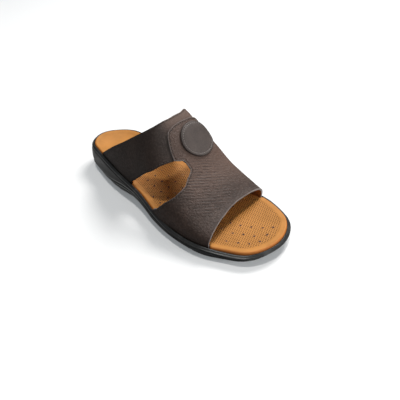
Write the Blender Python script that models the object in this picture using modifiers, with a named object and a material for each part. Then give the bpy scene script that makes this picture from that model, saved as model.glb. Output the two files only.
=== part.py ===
"""A leather slide sandal for the right foot, standing empty on its sole.

Metres, +Z up. The toe points along -Y, the inner side of the foot is +X and the outer side -X.
Plan shares run from 0 at the heel to 1 at the toe of the footbed. Over shares run from 0 at the outer
edge of the footbed, over the foot, to 1 at its inner edge.
"""

import math

import bmesh
import bpy
import numpy as np

NAME = "slide_sandal"

# Overall sizes of the last
FOOTBED_LENGTH = 0.2750
HEEL_WIDTH = 0.0675
BALL_WIDTH = 0.1025
HEEL_HEIGHT = 0.0344
BALL_HEIGHT = 0.0150
INSTEP_RISE = 0.0840
TOE_RISE = 0.0205
TOE_SPRING = 0.0038
HEEL_SPRING = 0.0022
ARCH_LIFT = 0.0060
ARCH_EDGE_RISE = 0.0068

# Walls, clearances and seats
GAP = 0.0003
LEATHER = 0.0022
LAP_SINK = 0.0006
TUCK = 0.0046
FOOTBED_HEEL_EDGE = 0.0090
FOOTBED_BALL_EDGE = 0.0062
EDGE_ROLL = 0.0018
HEEL_CUP = 0.0045
ARCH_PAD = 0.0036
SIDE_BULGE = 0.0036
RIM_DROP = 0.0010
RIM_ROLL = 0.0003
TREAD = 0.0042
TREAD_INSET = 0.0012
LUG_DEPTH = 0.0028
LUG_GROOVE = 0.0030
LUG_WAVE = 0.0035
RELIEF_MARGIN = 0.0038
RELIEF_RAMP = 0.0030
UPPER_BULGE = 0.0015

# Round medallion sewn on the instep
MEDALLION = 0.0400
MEDALLION_THICK = 0.0020
MEDALLION_SEAT = 0.0005
MEDALLION_ALONG = 0.584
MEDALLION_OVER = 0.570

# Counts
ROWS = 36
COLUMNS = 6
OVER_ROWS = 56
LATTICE = 181
WINDOW_ROWS = 26

# Plan outline of the footbed. Widths are shares of a width that goes from the heel's to the ball's.
# along, ball share, inner side, outer side
PLAN = (
    (0.04, 0.0, 0.370, 0.250),
    (0.10, 0.0, 0.525, 0.350),
    (0.20, 0.0, 0.535, 0.450),
    (0.32, 0.0, 0.475, 0.529),
    (0.45, 0.0, 0.427, 0.591),
    (0.56, 0.5, 0.415, 0.555),
    (0.66, 1.0, 0.455, 0.501),
    (0.74, 1.0, 0.501, 0.505),
    (0.82, 1.0, 0.508, 0.471),
    (0.90, 1.0, 0.448, 0.376),
    (0.96, 1.0, 0.340, 0.274),
)
HEEL_TIP = 0.055
TOE_TIP = 0.044

# Height of the footbed's edge, lift of the tread off the floor, flare of the side wall and rise of the
# inner edge beside the arch.
# along, heel share of the edge height, arch, heel spring, toe spring, flare, inner rise
SIDE = (
    (-0.03, 1.01, 0.00, 1.00, 0.00, 1.40, 0.00),
    (0.05, 1.00, 0.00, 0.12, 0.00, 1.42, 0.00),
    (0.10, 1.00, 0.00, 0.00, 0.00, 1.45, 0.00),
    (0.18, 0.98, 0.00, 0.00, 0.00, 1.45, 0.03),
    (0.26, 0.86, 0.04, 0.00, 0.00, 1.30, 0.30),
    (0.34, 0.69, 0.60, 0.00, 0.00, 1.15, 0.78),
    (0.42, 0.53, 1.00, 0.00, 0.00, 1.00, 1.00),
    (0.50, 0.36, 0.66, 0.00, 0.00, 1.00, 0.80),
    (0.58, 0.18, 0.10, 0.00, 0.00, 1.00, 0.32),
    (0.66, 0.05, 0.00, 0.00, 0.00, 1.00, 0.05),
    (0.76, 0.00, 0.00, 0.00, 0.00, 1.00, 0.00),
    (0.82, 0.00, 0.00, 0.00, 0.02, 0.95, 0.00),
    (0.90, 0.02, 0.00, 0.00, 0.30, 0.85, 0.00),
    (0.96, 0.05, 0.00, 0.00, 0.70, 0.80, 0.00),
    (1.03, 0.09, 0.00, 0.00, 1.15, 0.80, 0.00),
)

# Dish of the footbed's top and pad under the arch. along, dish, arch pad
BED = (
    (0.00, 0.20, 0.00),
    (0.12, 1.00, 0.00),
    (0.26, 0.62, 0.35),
    (0.40, 0.18, 1.00),
    (0.54, 0.20, 0.30),
    (0.66, 0.34, 0.00),
    (0.84, 0.40, 0.00),
    (1.00, 0.12, 0.00),
)

# Moulded side wall of the sole. height share, spread as a share of the side bulge
WALL = (
    (0.00, -0.20),
    (0.08, 0.38),
    (0.24, 0.80),
    (0.48, 1.00),
    (0.74, 0.92),
    (0.91, 0.68),
    (1.00, 0.36),
)

# Side of the tread from the floor up. height share, inset as a share of the tread's inset
TREAD_SIDE = ((0.0, 1.8), (0.35, 1.0), (1.0, 0.6))

# Height of the last's ridge above the footbed's edge, and how far it leans to the inner side.
# along, instep share of the rise, lean in metres per metre of half width
RIDGE = (
    (0.10, 1.00, 0.36),
    (0.40, 1.00, 0.40),
    (0.48, 1.00, 0.42),
    (0.54, 0.835, 0.39),
    (0.60, 0.595, 0.29),
    (0.65, 0.415, 0.21),
    (0.70, 0.265, 0.15),
    (0.75, 0.13, 0.11),
    (0.80, 0.00, 0.08),
    (0.90, -0.11, 0.04),
)
SECTION_WIDTH_POWER = 0.714
SECTION_HEIGHT_POWER = 0.80

# Edges of the strap and the vamp, from the outer side to the ridge and down the inner side.
# over, strap rear, strap front, vamp rear, vamp front
EDGES = (
    (0.000, 0.147, 0.384, 0.402, 0.839),
    (0.060, 0.203, 0.426, 0.444, 0.840),
    (0.140, 0.272, 0.482, 0.500, 0.835),
    (0.220, 0.340, 0.535, 0.553, 0.828),
    (0.300, 0.402, 0.570, 0.588, 0.821),
    (0.360, 0.446, 0.591, 0.596, 0.817),
    (0.378, 0.458, 0.595, 0.574, 0.815),
    (0.403, 0.473, 0.600, 0.547, 0.813),
    (0.440, 0.488, 0.604, 0.526, 0.810),
    (0.500, 0.499, 0.606, 0.523, 0.807),
    (0.560, 0.499, 0.606, 0.523, 0.805),
    (0.620, 0.484, 0.604, 0.524, 0.805),
    (0.680, 0.454, 0.594, 0.524, 0.805),
    (0.740, 0.414, 0.569, 0.522, 0.805),
    (0.780, 0.382, 0.546, 0.520, 0.805),
    (0.800, 0.364, 0.532, 0.522, 0.805),
    (0.820, 0.345, 0.518, 0.536, 0.805),
    (0.860, 0.305, 0.488, 0.506, 0.804),
    (0.930, 0.230, 0.437, 0.455, 0.802),
    (1.000, 0.150, 0.388, 0.406, 0.800),
)

# Side windows. over from the side's own edge, rear edge, front edge
WINDOWS = {
    "outer": (
        (-0.060, 0.350, 0.560),
        (0.000, 0.384, 0.561),
        (0.060, 0.426, 0.596),
        (0.140, 0.482, 0.632),
        (0.220, 0.535, 0.660),
        (0.300, 0.570, 0.667),
        (0.360, 0.591, 0.658),
        (0.395, 0.606, 0.646),
        (0.418, 0.618, 0.634),
    ),
    "inner": (
        (-0.060, 0.350, 0.552),
        (0.000, 0.388, 0.553),
        (0.070, 0.437, 0.580),
        (0.140, 0.488, 0.590),
        (0.185, 0.522, 0.584),
        (0.208, 0.541, 0.572),
    ),
}

# Wavy grooves across the tread that leave its lugs, as plan shares
GROOVES = (0.075, 0.130, 0.185, 0.240, 0.575, 0.625, 0.675, 0.725, 0.775, 0.825, 0.875, 0.925)

# Colour, roughness and metallic value of each finish
FINISHES = {
    "upper_leather": ((0.060, 0.045, 0.040, 1.0), 0.50, 0.0),
    "footbed_leather": ((0.560, 0.290, 0.110, 1.0), 0.55, 0.0),
    "sole_rubber": ((0.018, 0.017, 0.017, 1.0), 0.45, 0.0),
}


def clear_scene():
    """Empty the file of whatever it started with."""
    for obj in list(bpy.data.objects):
        bpy.data.objects.remove(obj, do_unlink=True)


def smooth_column(table, column, shares):
    """A column of a table as a smooth curve through its rows, read at the shares."""
    rows = np.asarray(table)
    knots = rows[:, 0]
    values = rows[:, column]
    slopes = np.diff(values) / np.diff(knots)
    tangents = np.zeros_like(values)
    turning = slopes[:-1] * slopes[1:] <= 0
    inner = 2 * slopes[:-1] * slopes[1:] / np.where(turning, 1, slopes[:-1] + slopes[1:])
    tangents[1:-1] = np.where(turning, 0, inner)
    tangents[0] = slopes[0]
    tangents[-1] = slopes[-1]
    where = np.clip(shares, knots[0], knots[-1])
    piece = np.clip(np.searchsorted(knots, where, side="right") - 1, 0, len(knots) - 2)
    span = knots[piece + 1] - knots[piece]
    part = (where - knots[piece]) / span
    rise = values[piece + 1] - values[piece]
    start = tangents[piece] * span
    end = tangents[piece + 1] * span
    bend = part * (1 - part) * (start * (1 - part) - end * part)
    return values[piece] + rise * part * part * (3 - 2 * part) + bend


def closed_spline(points, samples):
    """Samples of the smooth closed curve through the points, and its outward normals in plan."""
    count = len(points)
    ahead = np.roll(points, -1, axis=0)
    spans = np.linalg.norm(ahead - points, axis=1) ** 0.5
    knots = np.concatenate([[0], np.cumsum(spans)])
    matrix = np.zeros((count, count))
    right = np.zeros((count, 2))
    for index in range(count):
        before = spans[index - 1]
        after = spans[index]
        matrix[index, index - 1] += after
        matrix[index, index] += 2 * (before + after)
        matrix[index, (index + 1) % count] += before
        step_before = (points[index] - points[index - 1]) / before
        step_after = (ahead[index] - points[index]) / after
        right[index] = 3 * (after * step_before + before * step_after)
    tangents = np.linalg.solve(matrix, right)
    where = np.linspace(0, knots[-1], samples + 1)[:-1]
    piece = np.clip(np.searchsorted(knots, where, side="right") - 1, 0, count - 1)
    span = spans[piece][:, None]
    part = (where - knots[piece])[:, None] / span
    start = tangents[piece] * span
    end = tangents[(piece + 1) % count] * span
    rise = ahead[piece] - points[piece]
    curve = points[piece] + rise * part**2 * (3 - 2 * part)
    curve = curve + part * (1 - part) * (start * (1 - part) - end * part)
    along = np.roll(curve, -1, axis=0) - np.roll(curve, 1, axis=0)
    along /= np.linalg.norm(along, axis=1)[:, None]
    return curve, np.stack([-along[:, 1], along[:, 0]], axis=1)


def footbed_outline():
    """Dense closed outline of the footbed from the heel by the inner side to the toe and back."""
    inner = []
    outer = []
    for along, ball_share, inner_share, outer_share in PLAN:
        width = HEEL_WIDTH + (BALL_WIDTH - HEEL_WIDTH) * ball_share
        inner.append((width * inner_share, -along * FOOTBED_LENGTH))
        outer.append((-width * outer_share, -along * FOOTBED_LENGTH))
    heel = (HEEL_WIDTH * HEEL_TIP, 0.0)
    toe = (BALL_WIDTH * TOE_TIP, -FOOTBED_LENGTH)
    return closed_spline(np.array([heel] + inner + [toe] + outer[::-1]), 1200)


OUTLINE, OUTWARD = footbed_outline()


def side_edges(spread):
    """Inner and outer edge of the outline moved outwards by the spread, each from heel to toe."""
    moved = OUTLINE + OUTWARD * np.reshape(spread, (-1, 1))
    heel = int(moved[:, 1].argmax())
    moved = np.roll(moved, -heel, axis=0)
    toe = int(moved[:, 1].argmin())
    return moved[: toe + 1], np.vstack([moved[toe:], moved[:1]])[::-1]


def plan_grid(shares, spread):
    """Rows of plan points across the outline, from the outer edge to the inner edge."""
    inner, outer = side_edges(spread)
    along = inner[0, 1] + np.asarray(shares) * (inner[-1, 1] - inner[0, 1])
    inner_x = np.interp(-along, -inner[:, 1], inner[:, 0])
    outer_x = np.interp(-along, -outer[:, 1], outer[:, 0])
    across = np.linspace(0, 1, COLUMNS + 1)
    x = outer_x[:, None] + (inner_x - outer_x)[:, None] * across
    return np.stack([x, np.broadcast_to(along[:, None], x.shape)], axis=2)


def footbed_edge_height(shares):
    """Height of the footbed's top edge above the floor."""
    return BALL_HEIGHT + (HEEL_HEIGHT - BALL_HEIGHT) * smooth_column(SIDE, 1, shares)


def tread_lift(shares):
    """Height of the tread's underside above the floor."""
    arch = ARCH_LIFT * smooth_column(SIDE, 2, shares)
    heel = HEEL_SPRING * smooth_column(SIDE, 3, shares)
    toe = TOE_SPRING * smooth_column(SIDE, 4, shares)
    return arch + heel + toe


def recess_floor(shares):
    """Height of the floor that the footbed lies on in the moulded sole."""
    heel_share = smooth_column(SIDE, 1, shares)
    thick = FOOTBED_BALL_EDGE + (FOOTBED_HEEL_EDGE - FOOTBED_BALL_EDGE) * heel_share
    return footbed_edge_height(shares) - thick


def flare(shares):
    """How much further than at the ball the side wall stands out."""
    return smooth_column(SIDE, 5, shares)


def inner_rise(shares, across):
    """How much higher the last's edge stands beside the arch. Across runs from -1, outer, to 1, inner."""
    return ARCH_EDGE_RISE * smooth_column(SIDE, 6, shares) * np.clip(across, 0, 1) ** 2


def level(plan, height, rise_share=0.0):
    """A plan grid lifted to the height, which is a function of the share along the foot."""
    shares = -plan[:, :, 1] / FOOTBED_LENGTH
    lifted = height(shares) + rise_share * inner_rise(shares, np.linspace(-1, 1, plan.shape[1]))
    return np.concatenate([plan, lifted[:, :, None]], axis=2)


def grid_border(grid):
    """The points round the border of a grid, in order."""
    last_row = grid[-1, ::-1]
    first_row = grid[0]
    return np.concatenate([first_row, grid[1:, -1], last_row[1:], grid[-2:0:-1, 0]])


def mesh_from(name, vertices, faces, flat_faces=False):
    """A mesh with its doubles merged and its faces pointing outwards."""
    mesh = bpy.data.meshes.new(name)
    mesh.from_pydata([tuple(point) for point in vertices], [], faces)
    work = bmesh.new()
    work.from_mesh(mesh)
    bmesh.ops.remove_doubles(work, verts=work.verts, dist=1e-6)
    bmesh.ops.dissolve_degenerate(work, edges=work.edges, dist=1e-7)
    bmesh.ops.recalc_face_normals(work, faces=work.faces)
    if flat_faces:
        bmesh.ops.triangulate(work, faces=work.faces)
    work.to_mesh(mesh)
    work.free()
    return mesh


def grid_faces(rows, columns, first):
    """Quads of a grid of points whose first point has the index given."""
    faces = []
    for row in range(rows - 1):
        for column in range(columns - 1):
            corner = first + row * columns + column
            faces.append((corner, corner + 1, corner + columns + 1, corner + columns))
    return faces


def lofted_solid(name, levels):
    """A closed solid: a cap on the first grid, walls through every border, a cap on the last grid."""
    vertices = []
    faces = []
    for grid in (levels[0], levels[-1]):
        faces += grid_faces(grid.shape[0], grid.shape[1], len(vertices))
        vertices += list(grid.reshape(-1, 3))
    borders = [grid_border(grid) for grid in levels]
    count = len(borders[0])
    first = len(vertices)
    for border in borders:
        vertices += list(border)
    for ring in range(len(borders) - 1):
        for index in range(count):
            ahead = (index + 1) % count
            low = first + ring * count
            faces.append((low + index, low + ahead, low + count + ahead, low + count + index))
    return mesh_from(name, vertices, faces, flat_faces=True)


def last_sections():
    """A fine lattice of points over the last, evenly spaced over each section, with its normals."""
    shares = np.linspace(0.08, 0.92, LATTICE)
    inner, outer = side_edges(0.0)
    along = -shares * FOOTBED_LENGTH
    inner_x = np.interp(-along, -inner[:, 1], inner[:, 0])
    outer_x = np.interp(-along, -outer[:, 1], outer[:, 0])
    base = footbed_edge_height(shares)
    rise = TOE_RISE + (INSTEP_RISE - TOE_RISE) * smooth_column(RIDGE, 1, shares)
    lean = smooth_column(RIDGE, 2, shares)
    turn = np.linspace(0, math.pi, 4 * LATTICE)
    run = np.sign(np.cos(turn)) * np.abs(np.cos(turn)) ** SECTION_WIDTH_POWER
    up = np.sin(turn) ** SECTION_HEIGHT_POWER
    points = np.empty((LATTICE, LATTICE, 3))
    for index in range(LATTICE):
        half = (inner_x[index] - outer_x[index]) / 2
        middle = (inner_x[index] + outer_x[index]) / 2
        swell = UPPER_BULGE * np.sin(turn) ** 0.5
        x = middle - (half + swell) * run + half * lean[index] * np.sin(turn) ** 2
        z = base[index] + rise[index] * up
        z += inner_rise(shares[index], (x - middle) / half) * (1 - up)
        steps = np.hypot(np.diff(x), np.diff(z))
        girth = np.concatenate([[0], np.cumsum(steps)])
        even = np.linspace(0, girth[-1], LATTICE)
        points[index, :, 0] = np.interp(even, girth, x)
        points[index, :, 1] = along[index]
        points[index, :, 2] = np.interp(even, girth, z)
    normals = np.cross(np.gradient(points, axis=0), np.gradient(points, axis=1))
    normals /= np.linalg.norm(normals, axis=2)[:, :, None]
    if normals[LATTICE // 2, LATTICE // 2, 2] < 0:
        normals = -normals
    return shares, points, normals


LAST_SHARES, LAST_POINTS, LAST_NORMALS = last_sections()


def on_last(over, along, lift):
    """Points on the last at the over and along shares, raised off it by the lift."""
    over, along, lift = np.broadcast_arrays(over, along, lift)
    first = LAST_SHARES[0]
    pitch = LAST_SHARES[1] - first
    row = np.clip((along - first) / pitch, 0, LATTICE - 1.001)
    column = np.clip(over, 0, 1) * (LATTICE - 1.001)
    row_low = row.astype(int)
    column_low = column.astype(int)
    row_part = (row - row_low)[..., None]
    column_part = (column - column_low)[..., None]

    def blend(lattice):
        low = lattice[row_low, column_low] * (1 - column_part)
        low = low + lattice[row_low, column_low + 1] * column_part
        high = lattice[row_low + 1, column_low] * (1 - column_part)
        high = high + lattice[row_low + 1, column_low + 1] * column_part
        return low * (1 - row_part) + high * row_part

    normals = blend(LAST_NORMALS)
    normals /= np.linalg.norm(normals, axis=-1)[..., None]
    return blend(LAST_POINTS) + normals * lift[..., None]


def over_shares():
    """Over shares of the rows of a strap, with a row at each row of the edge table."""
    even = np.linspace(0, 1, OVER_ROWS + 1)
    chosen = [row[0] for row in EDGES]
    kept = [share for share in even if min(abs(share - row) for row in chosen) > 0.4 / OVER_ROWS]
    return np.array(sorted(kept + chosen))


def band(name, rear_column, front_column, lift, columns):
    """An open sheet of leather over the last between two edges, with its ends tucked down the sides."""
    over = over_shares()
    rear = smooth_column(EDGES, rear_column, over)
    front = smooth_column(EDGES, front_column, over)
    part = np.linspace(0, 1, columns + 1)
    along = rear[:, None] + (front - rear)[:, None] * part
    sheet = on_last(over[:, None], along, lift(along))
    outer_end = on_last(0.0, along[0], 0.0)
    inner_end = on_last(1.0, along[-1], 0.0)
    outer_end[:, 2] -= TUCK
    inner_end[:, 2] -= TUCK
    sheet[0] = on_last(0.0, along[0], 0.0)
    sheet[-1] = on_last(1.0, along[-1], 0.0)
    sheet = np.concatenate([outer_end[None], sheet, inner_end[None]])
    mesh = mesh_from(name, list(sheet.reshape(-1, 3)), grid_faces(sheet.shape[0], columns + 1, 0))
    middle = mesh.polygons[len(mesh.polygons) // 2]
    if middle.normal.z < 0:
        mesh.flip_normals()
    return mesh


def strap_lift(along):
    """The strap lies on the last all over."""
    return np.zeros_like(along)


def vamp_lift(along):
    """The vamp lies on the last and climbs on to the strap where it laps it."""
    strap_end = smooth_column(EDGES, 2, 0.5)
    climb = np.clip((strap_end + 0.075 - along) / 0.070, 0, 1)
    return (LEATHER - LAP_SINK) * climb * climb * (3 - 2 * climb)


def window_cutter(name, side):
    """A closed bar through the wall that follows it from the footbed's edge up to the window's top."""
    table = WINDOWS[side]
    over = np.concatenate([[table[0][0]], np.linspace(0, table[-1][0], WINDOW_ROWS)])
    rear = smooth_column(table, 1, over)
    front = smooth_column(table, 2, over)
    reach = 2 * LEATHER
    levels = []
    for lift in (-reach, reach):
        rows = []
        for share, back, fore in zip(over, rear, front):
            along = np.linspace(back, fore, 5)
            seat = share if side == "outer" else 1 - share
            row = on_last(seat, along, lift)
            if share < 0:
                row[:, 2] -= 3 * TUCK
            rows.append(row)
        levels.append(np.array(rows))
    return lofted_solid(name, levels)


def finish(name):
    """The material of one finish."""
    if name in bpy.data.materials:
        return bpy.data.materials[name]
    colour, roughness, metallic = FINISHES[name]
    material = bpy.data.materials.new(name)
    material.use_nodes = True
    shader = material.node_tree.nodes["Principled BSDF"]
    shader.inputs["Base Color"].default_value = colour
    shader.inputs["Roughness"].default_value = roughness
    shader.inputs["Metallic"].default_value = metallic
    material.diffuse_color = colour
    return material


def place(name, mesh, collection, parent, finish_name=None):
    """An object on the sandal's own origin. Without a finish it is a helper that stays hidden."""
    obj = bpy.data.objects.new(name, mesh)
    collection.objects.link(obj)
    obj.parent = parent
    if finish_name is None:
        obj.hide_render = True
        obj.display_type = "WIRE"
    else:
        mesh.materials.append(finish(finish_name))
        mesh.shade_smooth()
        mesh.set_sharp_from_angle(angle=math.radians(40))
    return obj


def add_boolean(obj, other, operation):
    """A Boolean of one object with another."""
    modifier = obj.modifiers.new(f"{operation.lower()}_{other.name}", "BOOLEAN")
    modifier.operation = operation
    modifier.solver = "EXACT"
    modifier.object = other


def add_thickness(obj):
    """The leather's thickness, inwards from the sheet, in flat faces that a Boolean cuts cleanly."""
    modifier = obj.modifiers.new("leather", "SOLIDIFY")
    modifier.thickness = LEATHER
    modifier.offset = -1
    modifier.use_even_offset = True
    obj.modifiers.new("flat_faces", "TRIANGULATE")


def row_shares(extra=()):
    """Rows along the foot, closer at the heel and toe, with any extra ones that a detail needs."""
    even = (1 - np.cos(np.linspace(0, math.pi, ROWS + 1))) / 2
    kept = [share for share in even if all(abs(share - other) > 0.006 for other in extra)]
    return np.array(sorted(kept + list(extra)))


def relief_edges():
    """Where the footbed's edge steps in to let the strap and the vamp pass, as pairs of shares."""
    margin = RELIEF_MARGIN / FOOTBED_LENGTH
    ramp = RELIEF_RAMP / FOOTBED_LENGTH
    first = EDGES[0]
    last = EDGES[-1]
    strap = (min(first[1], last[1]) - margin, max(first[2], last[2]) + margin)
    window_front = min(table[1][2] for table in WINDOWS.values())
    vamp = (window_front - margin, max(first[4], last[4]) + margin)
    return (strap, vamp), ramp


def relief(shares):
    """How far the footbed's edge steps in at each share along the foot."""
    zones, ramp = relief_edges()
    depth = np.zeros_like(shares)
    for start, end in zones:
        inside = np.minimum(shares - start + ramp, end + ramp - shares) / ramp
        depth = np.maximum(depth, np.clip(inside, 0, 1))
    return (LEATHER + 2 * GAP) * depth


def footbed_mesh():
    """The padded footbed: cupped heel, arch pad and a rolled edge that steps in under the straps."""
    zones, ramp = relief_edges()
    steps = [value for start, end in zones for value in (start - ramp, start, end, end + ramp)]
    shares = row_shares(steps)
    inset = relief(-OUTLINE[:, 1] / FOOTBED_LENGTH)

    def floor(along):
        return recess_floor(along) + GAP

    def side(drop):
        return lambda along: footbed_edge_height(along) - drop

    levels = [
        level(plan_grid(shares, -inset - 0.3 * EDGE_ROLL), floor, 1.0),
        level(plan_grid(shares, -inset), side(0.8 * FOOTBED_BALL_EDGE), 1.0),
        level(plan_grid(shares, -inset), side(0.8 * EDGE_ROLL), 1.0),
        level(plan_grid(shares, -inset - 0.3 * EDGE_ROLL), side(0.25 * EDGE_ROLL), 1.0),
    ]
    top = level(plan_grid(shares, -inset - EDGE_ROLL), footbed_edge_height, 1.0)
    across = np.linspace(-1, 1, COLUMNS + 1)
    along = -top[:, :, 1] / FOOTBED_LENGTH
    ends = np.clip(np.minimum(shares, 1 - shares) / 0.08, 0, 1)[:, None]
    hollow = (1 - np.abs(across) ** 3) * np.sqrt(ends)
    pad = np.sin(math.pi * np.clip(across, 0, 1) ** 1.2)
    top[:, :, 2] -= HEEL_CUP * smooth_column(BED, 1, along) * hollow
    top[:, :, 2] += ARCH_PAD * smooth_column(BED, 2, along) * pad
    return lofted_solid("footbed", levels + [top])


def midsole_mesh():
    """The moulded sole: bulging side wall, a rim and a recess that holds the footbed."""
    shares = row_shares()

    def underside(along):
        return tread_lift(along) + TREAD + GAP

    def rim(along):
        return footbed_edge_height(along) - RIM_DROP

    def wall(height_share):
        return lambda along: underside(along) + height_share * (rim(along) - underside(along))

    bulge = SIDE_BULGE * flare(-OUTLINE[:, 1] / FOOTBED_LENGTH)
    levels = []
    for height_share, spread in WALL:
        grid = plan_grid(shares, spread * bulge)
        levels.append(level(grid, wall(height_share), height_share))
    levels.append(level(plan_grid(shares, GAP), lambda along: rim(along) - RIM_ROLL, 1.0))
    levels.append(level(plan_grid(shares, GAP), recess_floor, 1.0))
    return lofted_solid("midsole", levels)


def outsole_mesh():
    """The tread under the whole moulded sole, with its sides drawn in towards the floor."""
    levels = []
    for height_share, inset in TREAD_SIDE:
        grid = plan_grid(row_shares(), -inset * TREAD_INSET)
        levels.append(level(grid, lambda along: tread_lift(along) + height_share * TREAD))
    return lofted_solid("outsole", levels)


def groove_mesh(name):
    """The wavy cuts across the tread that leave its lugs."""
    vertices = []
    faces = []
    across = np.linspace(-0.75 * BALL_WIDTH, 0.75 * BALL_WIDTH, 17)
    wave = LUG_WAVE * np.cos(across / BALL_WIDTH * 4 * math.pi)
    for share in GROOVES:
        plan = []
        for side in (-0.5, 0.5):
            line = -share * FOOTBED_LENGTH + wave - side * LUG_GROOVE
            plan.append(np.stack([across, line], axis=1))
        plan = np.array(plan)
        low = level(plan, lambda along: tread_lift(along) - TREAD)
        high = level(plan, lambda along: tread_lift(along) + LUG_DEPTH)
        bar = lofted_solid(name, [low, high])
        first = len(vertices)
        vertices += [vertex.co.copy() for vertex in bar.vertices]
        faces += [tuple(first + index for index in face.vertices) for face in bar.polygons]
        bpy.data.meshes.remove(bar)
    mesh = bpy.data.meshes.new(name)
    mesh.from_pydata(vertices, [], faces)
    return mesh


def medallion_mesh():
    """The round leather medallion, bent to the vamp that it is sewn on."""
    step = 0.002
    centre = on_last(MEDALLION_OVER, MEDALLION_ALONG, 0.0)
    over_pace = np.linalg.norm(on_last(MEDALLION_OVER + step, MEDALLION_ALONG, 0.0) - centre) / step
    along_pace = np.linalg.norm(on_last(MEDALLION_OVER, MEDALLION_ALONG + step, 0.0) - centre) / step
    radii = MEDALLION / 2 * np.array([0.0, 0.35, 0.7, 0.93, 1.0])
    turn = np.linspace(0, 2 * math.pi, 33)[:-1]
    over = MEDALLION_OVER + radii[:, None] * np.cos(turn) / over_pace
    along = MEDALLION_ALONG + radii[:, None] * np.sin(turn) / along_pace
    vertices = []
    faces = []
    crown = MEDALLION_THICK * np.array([1.0, 1.0, 1.0, 0.92, 0.55])[:, None]
    for lift in (crown, 0.0):
        first = len(vertices)
        layer = on_last(over, along, vamp_lift(along) + MEDALLION_SEAT + lift)
        vertices += list(layer.reshape(-1, 3))
        for ring in range(len(radii) - 1):
            for index in range(len(turn)):
                ahead = (index + 1) % len(turn)
                low = first + ring * len(turn)
                high = low + len(turn)
                faces.append((low + index, low + ahead, high + ahead, high + index))
    count = len(turn)
    top_edge = (len(radii) - 1) * count
    low_edge = top_edge + len(radii) * count
    for index in range(count):
        ahead = (index + 1) % count
        faces.append((top_edge + index, top_edge + ahead, low_edge + ahead, low_edge + index))
    return mesh_from("medallion", vertices, faces)


def build_upper(parts, helpers, parent):
    """Strap and vamp joined where they cross, with a window on each side and an open toe and heel."""
    upper = place("upper", band("upper", 3, 4, vamp_lift, 12), parts, parent, "upper_leather")
    add_thickness(upper)
    for side in WINDOWS:
        cutter_name = f"cut_window_{side}"
        cutter = place(cutter_name, window_cutter(cutter_name, side), helpers, parent)
        add_boolean(upper, cutter, "DIFFERENCE")
    strap = place("add_strap", band("add_strap", 1, 2, strap_lift, 7), helpers, parent)
    add_thickness(strap)
    add_boolean(upper, strap, "UNION")


def build_outsole(parts, helpers, parent):
    """The tread with its lugs."""
    outsole = place("outsole", outsole_mesh(), parts, parent, "sole_rubber")
    cutter = place("cut_grooves", groove_mesh("cut_grooves"), helpers, parent)
    add_boolean(outsole, cutter, "DIFFERENCE")


def main():
    """Model the sandal with the middle of its sole over the origin."""
    clear_scene()
    parts = bpy.data.collections.new(NAME)
    helpers = bpy.data.collections.new(f"{NAME}_cutters")
    for collection in (parts, helpers):
        bpy.context.scene.collection.children.link(collection)
    origin = bpy.data.objects.new(f"{NAME}_origin", None)
    parts.objects.link(origin)
    bulge = SIDE_BULGE * flare(-OUTLINE[:, 1] / FOOTBED_LENGTH)
    border = OUTLINE + OUTWARD * bulge[:, None]
    middle = (border.min(axis=0) + border.max(axis=0)) / 2
    origin.location = (-middle[0], -middle[1], 0.0)
    place("midsole", midsole_mesh(), parts, origin, "sole_rubber")
    place("footbed", footbed_mesh(), parts, origin, "footbed_leather")
    build_outsole(parts, helpers, origin)
    build_upper(parts, helpers, origin)
    place("medallion", medallion_mesh(), parts, origin, "upper_leather")


main()
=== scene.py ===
"""Finished look of a leather slide sandal for the right foot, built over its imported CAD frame.

Metres, +Z up. The toe points along -Y, the inner side of the foot is +X and the outer side -X.
Plan shares run from 0 at the heel to 1 at the toe of the footbed. Over shares run from 0 at the outer
edge of the footbed, over the foot, to 1 at its inner edge.
"""

from __future__ import annotations

import logging
import math
from dataclasses import dataclass, field
from enum import Enum
from typing import Callable, Sequence, Union

import bmesh
import bpy
import numpy as np
from mathutils import Matrix, Vector
from mathutils.kdtree import KDTree


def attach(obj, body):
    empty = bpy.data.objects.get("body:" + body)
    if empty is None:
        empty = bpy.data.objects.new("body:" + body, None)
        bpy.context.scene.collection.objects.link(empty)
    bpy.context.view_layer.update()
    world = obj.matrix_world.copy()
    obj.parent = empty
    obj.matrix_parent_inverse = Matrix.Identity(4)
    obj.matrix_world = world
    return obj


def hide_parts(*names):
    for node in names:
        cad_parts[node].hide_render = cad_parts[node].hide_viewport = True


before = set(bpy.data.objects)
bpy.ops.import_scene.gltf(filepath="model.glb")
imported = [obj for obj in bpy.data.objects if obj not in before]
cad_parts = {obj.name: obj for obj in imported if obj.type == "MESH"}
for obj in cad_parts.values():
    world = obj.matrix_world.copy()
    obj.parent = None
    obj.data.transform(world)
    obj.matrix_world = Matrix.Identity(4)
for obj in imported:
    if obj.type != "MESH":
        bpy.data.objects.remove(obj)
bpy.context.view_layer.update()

LOG = logging.getLogger("slide_sandal")
Array = np.ndarray
Colour = tuple[float, float, float, float]
Faces = list[tuple[int, ...]]
Material = bpy.types.Material
Mesh = bpy.types.Mesh
Node = bpy.types.Node
Piece = bpy.types.Object
Socket = bpy.types.NodeSocket
Table = Sequence[Sequence[float]]
Input = Union[float, Sequence[float], Socket]

# Share below which two places on the last are the same
SLACK = 1e-9

# Direction across the vamp's ripples
ACROSS_RIPPLES = (0.3934, 0.4272, 0.8141)

# Plan outline of the footbed. Widths are shares of a width that goes from the heel's to the ball's.
# along, ball share, inner side, outer side
PLAN: Table = (
    (0.04, 0.0, 0.370, 0.250),
    (0.10, 0.0, 0.525, 0.350),
    (0.20, 0.0, 0.535, 0.450),
    (0.32, 0.0, 0.475, 0.529),
    (0.45, 0.0, 0.427, 0.591),
    (0.56, 0.5, 0.415, 0.555),
    (0.66, 1.0, 0.455, 0.501),
    (0.74, 1.0, 0.501, 0.505),
    (0.82, 1.0, 0.508, 0.471),
    (0.90, 1.0, 0.448, 0.376),
    (0.96, 1.0, 0.340, 0.274),
)

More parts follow.
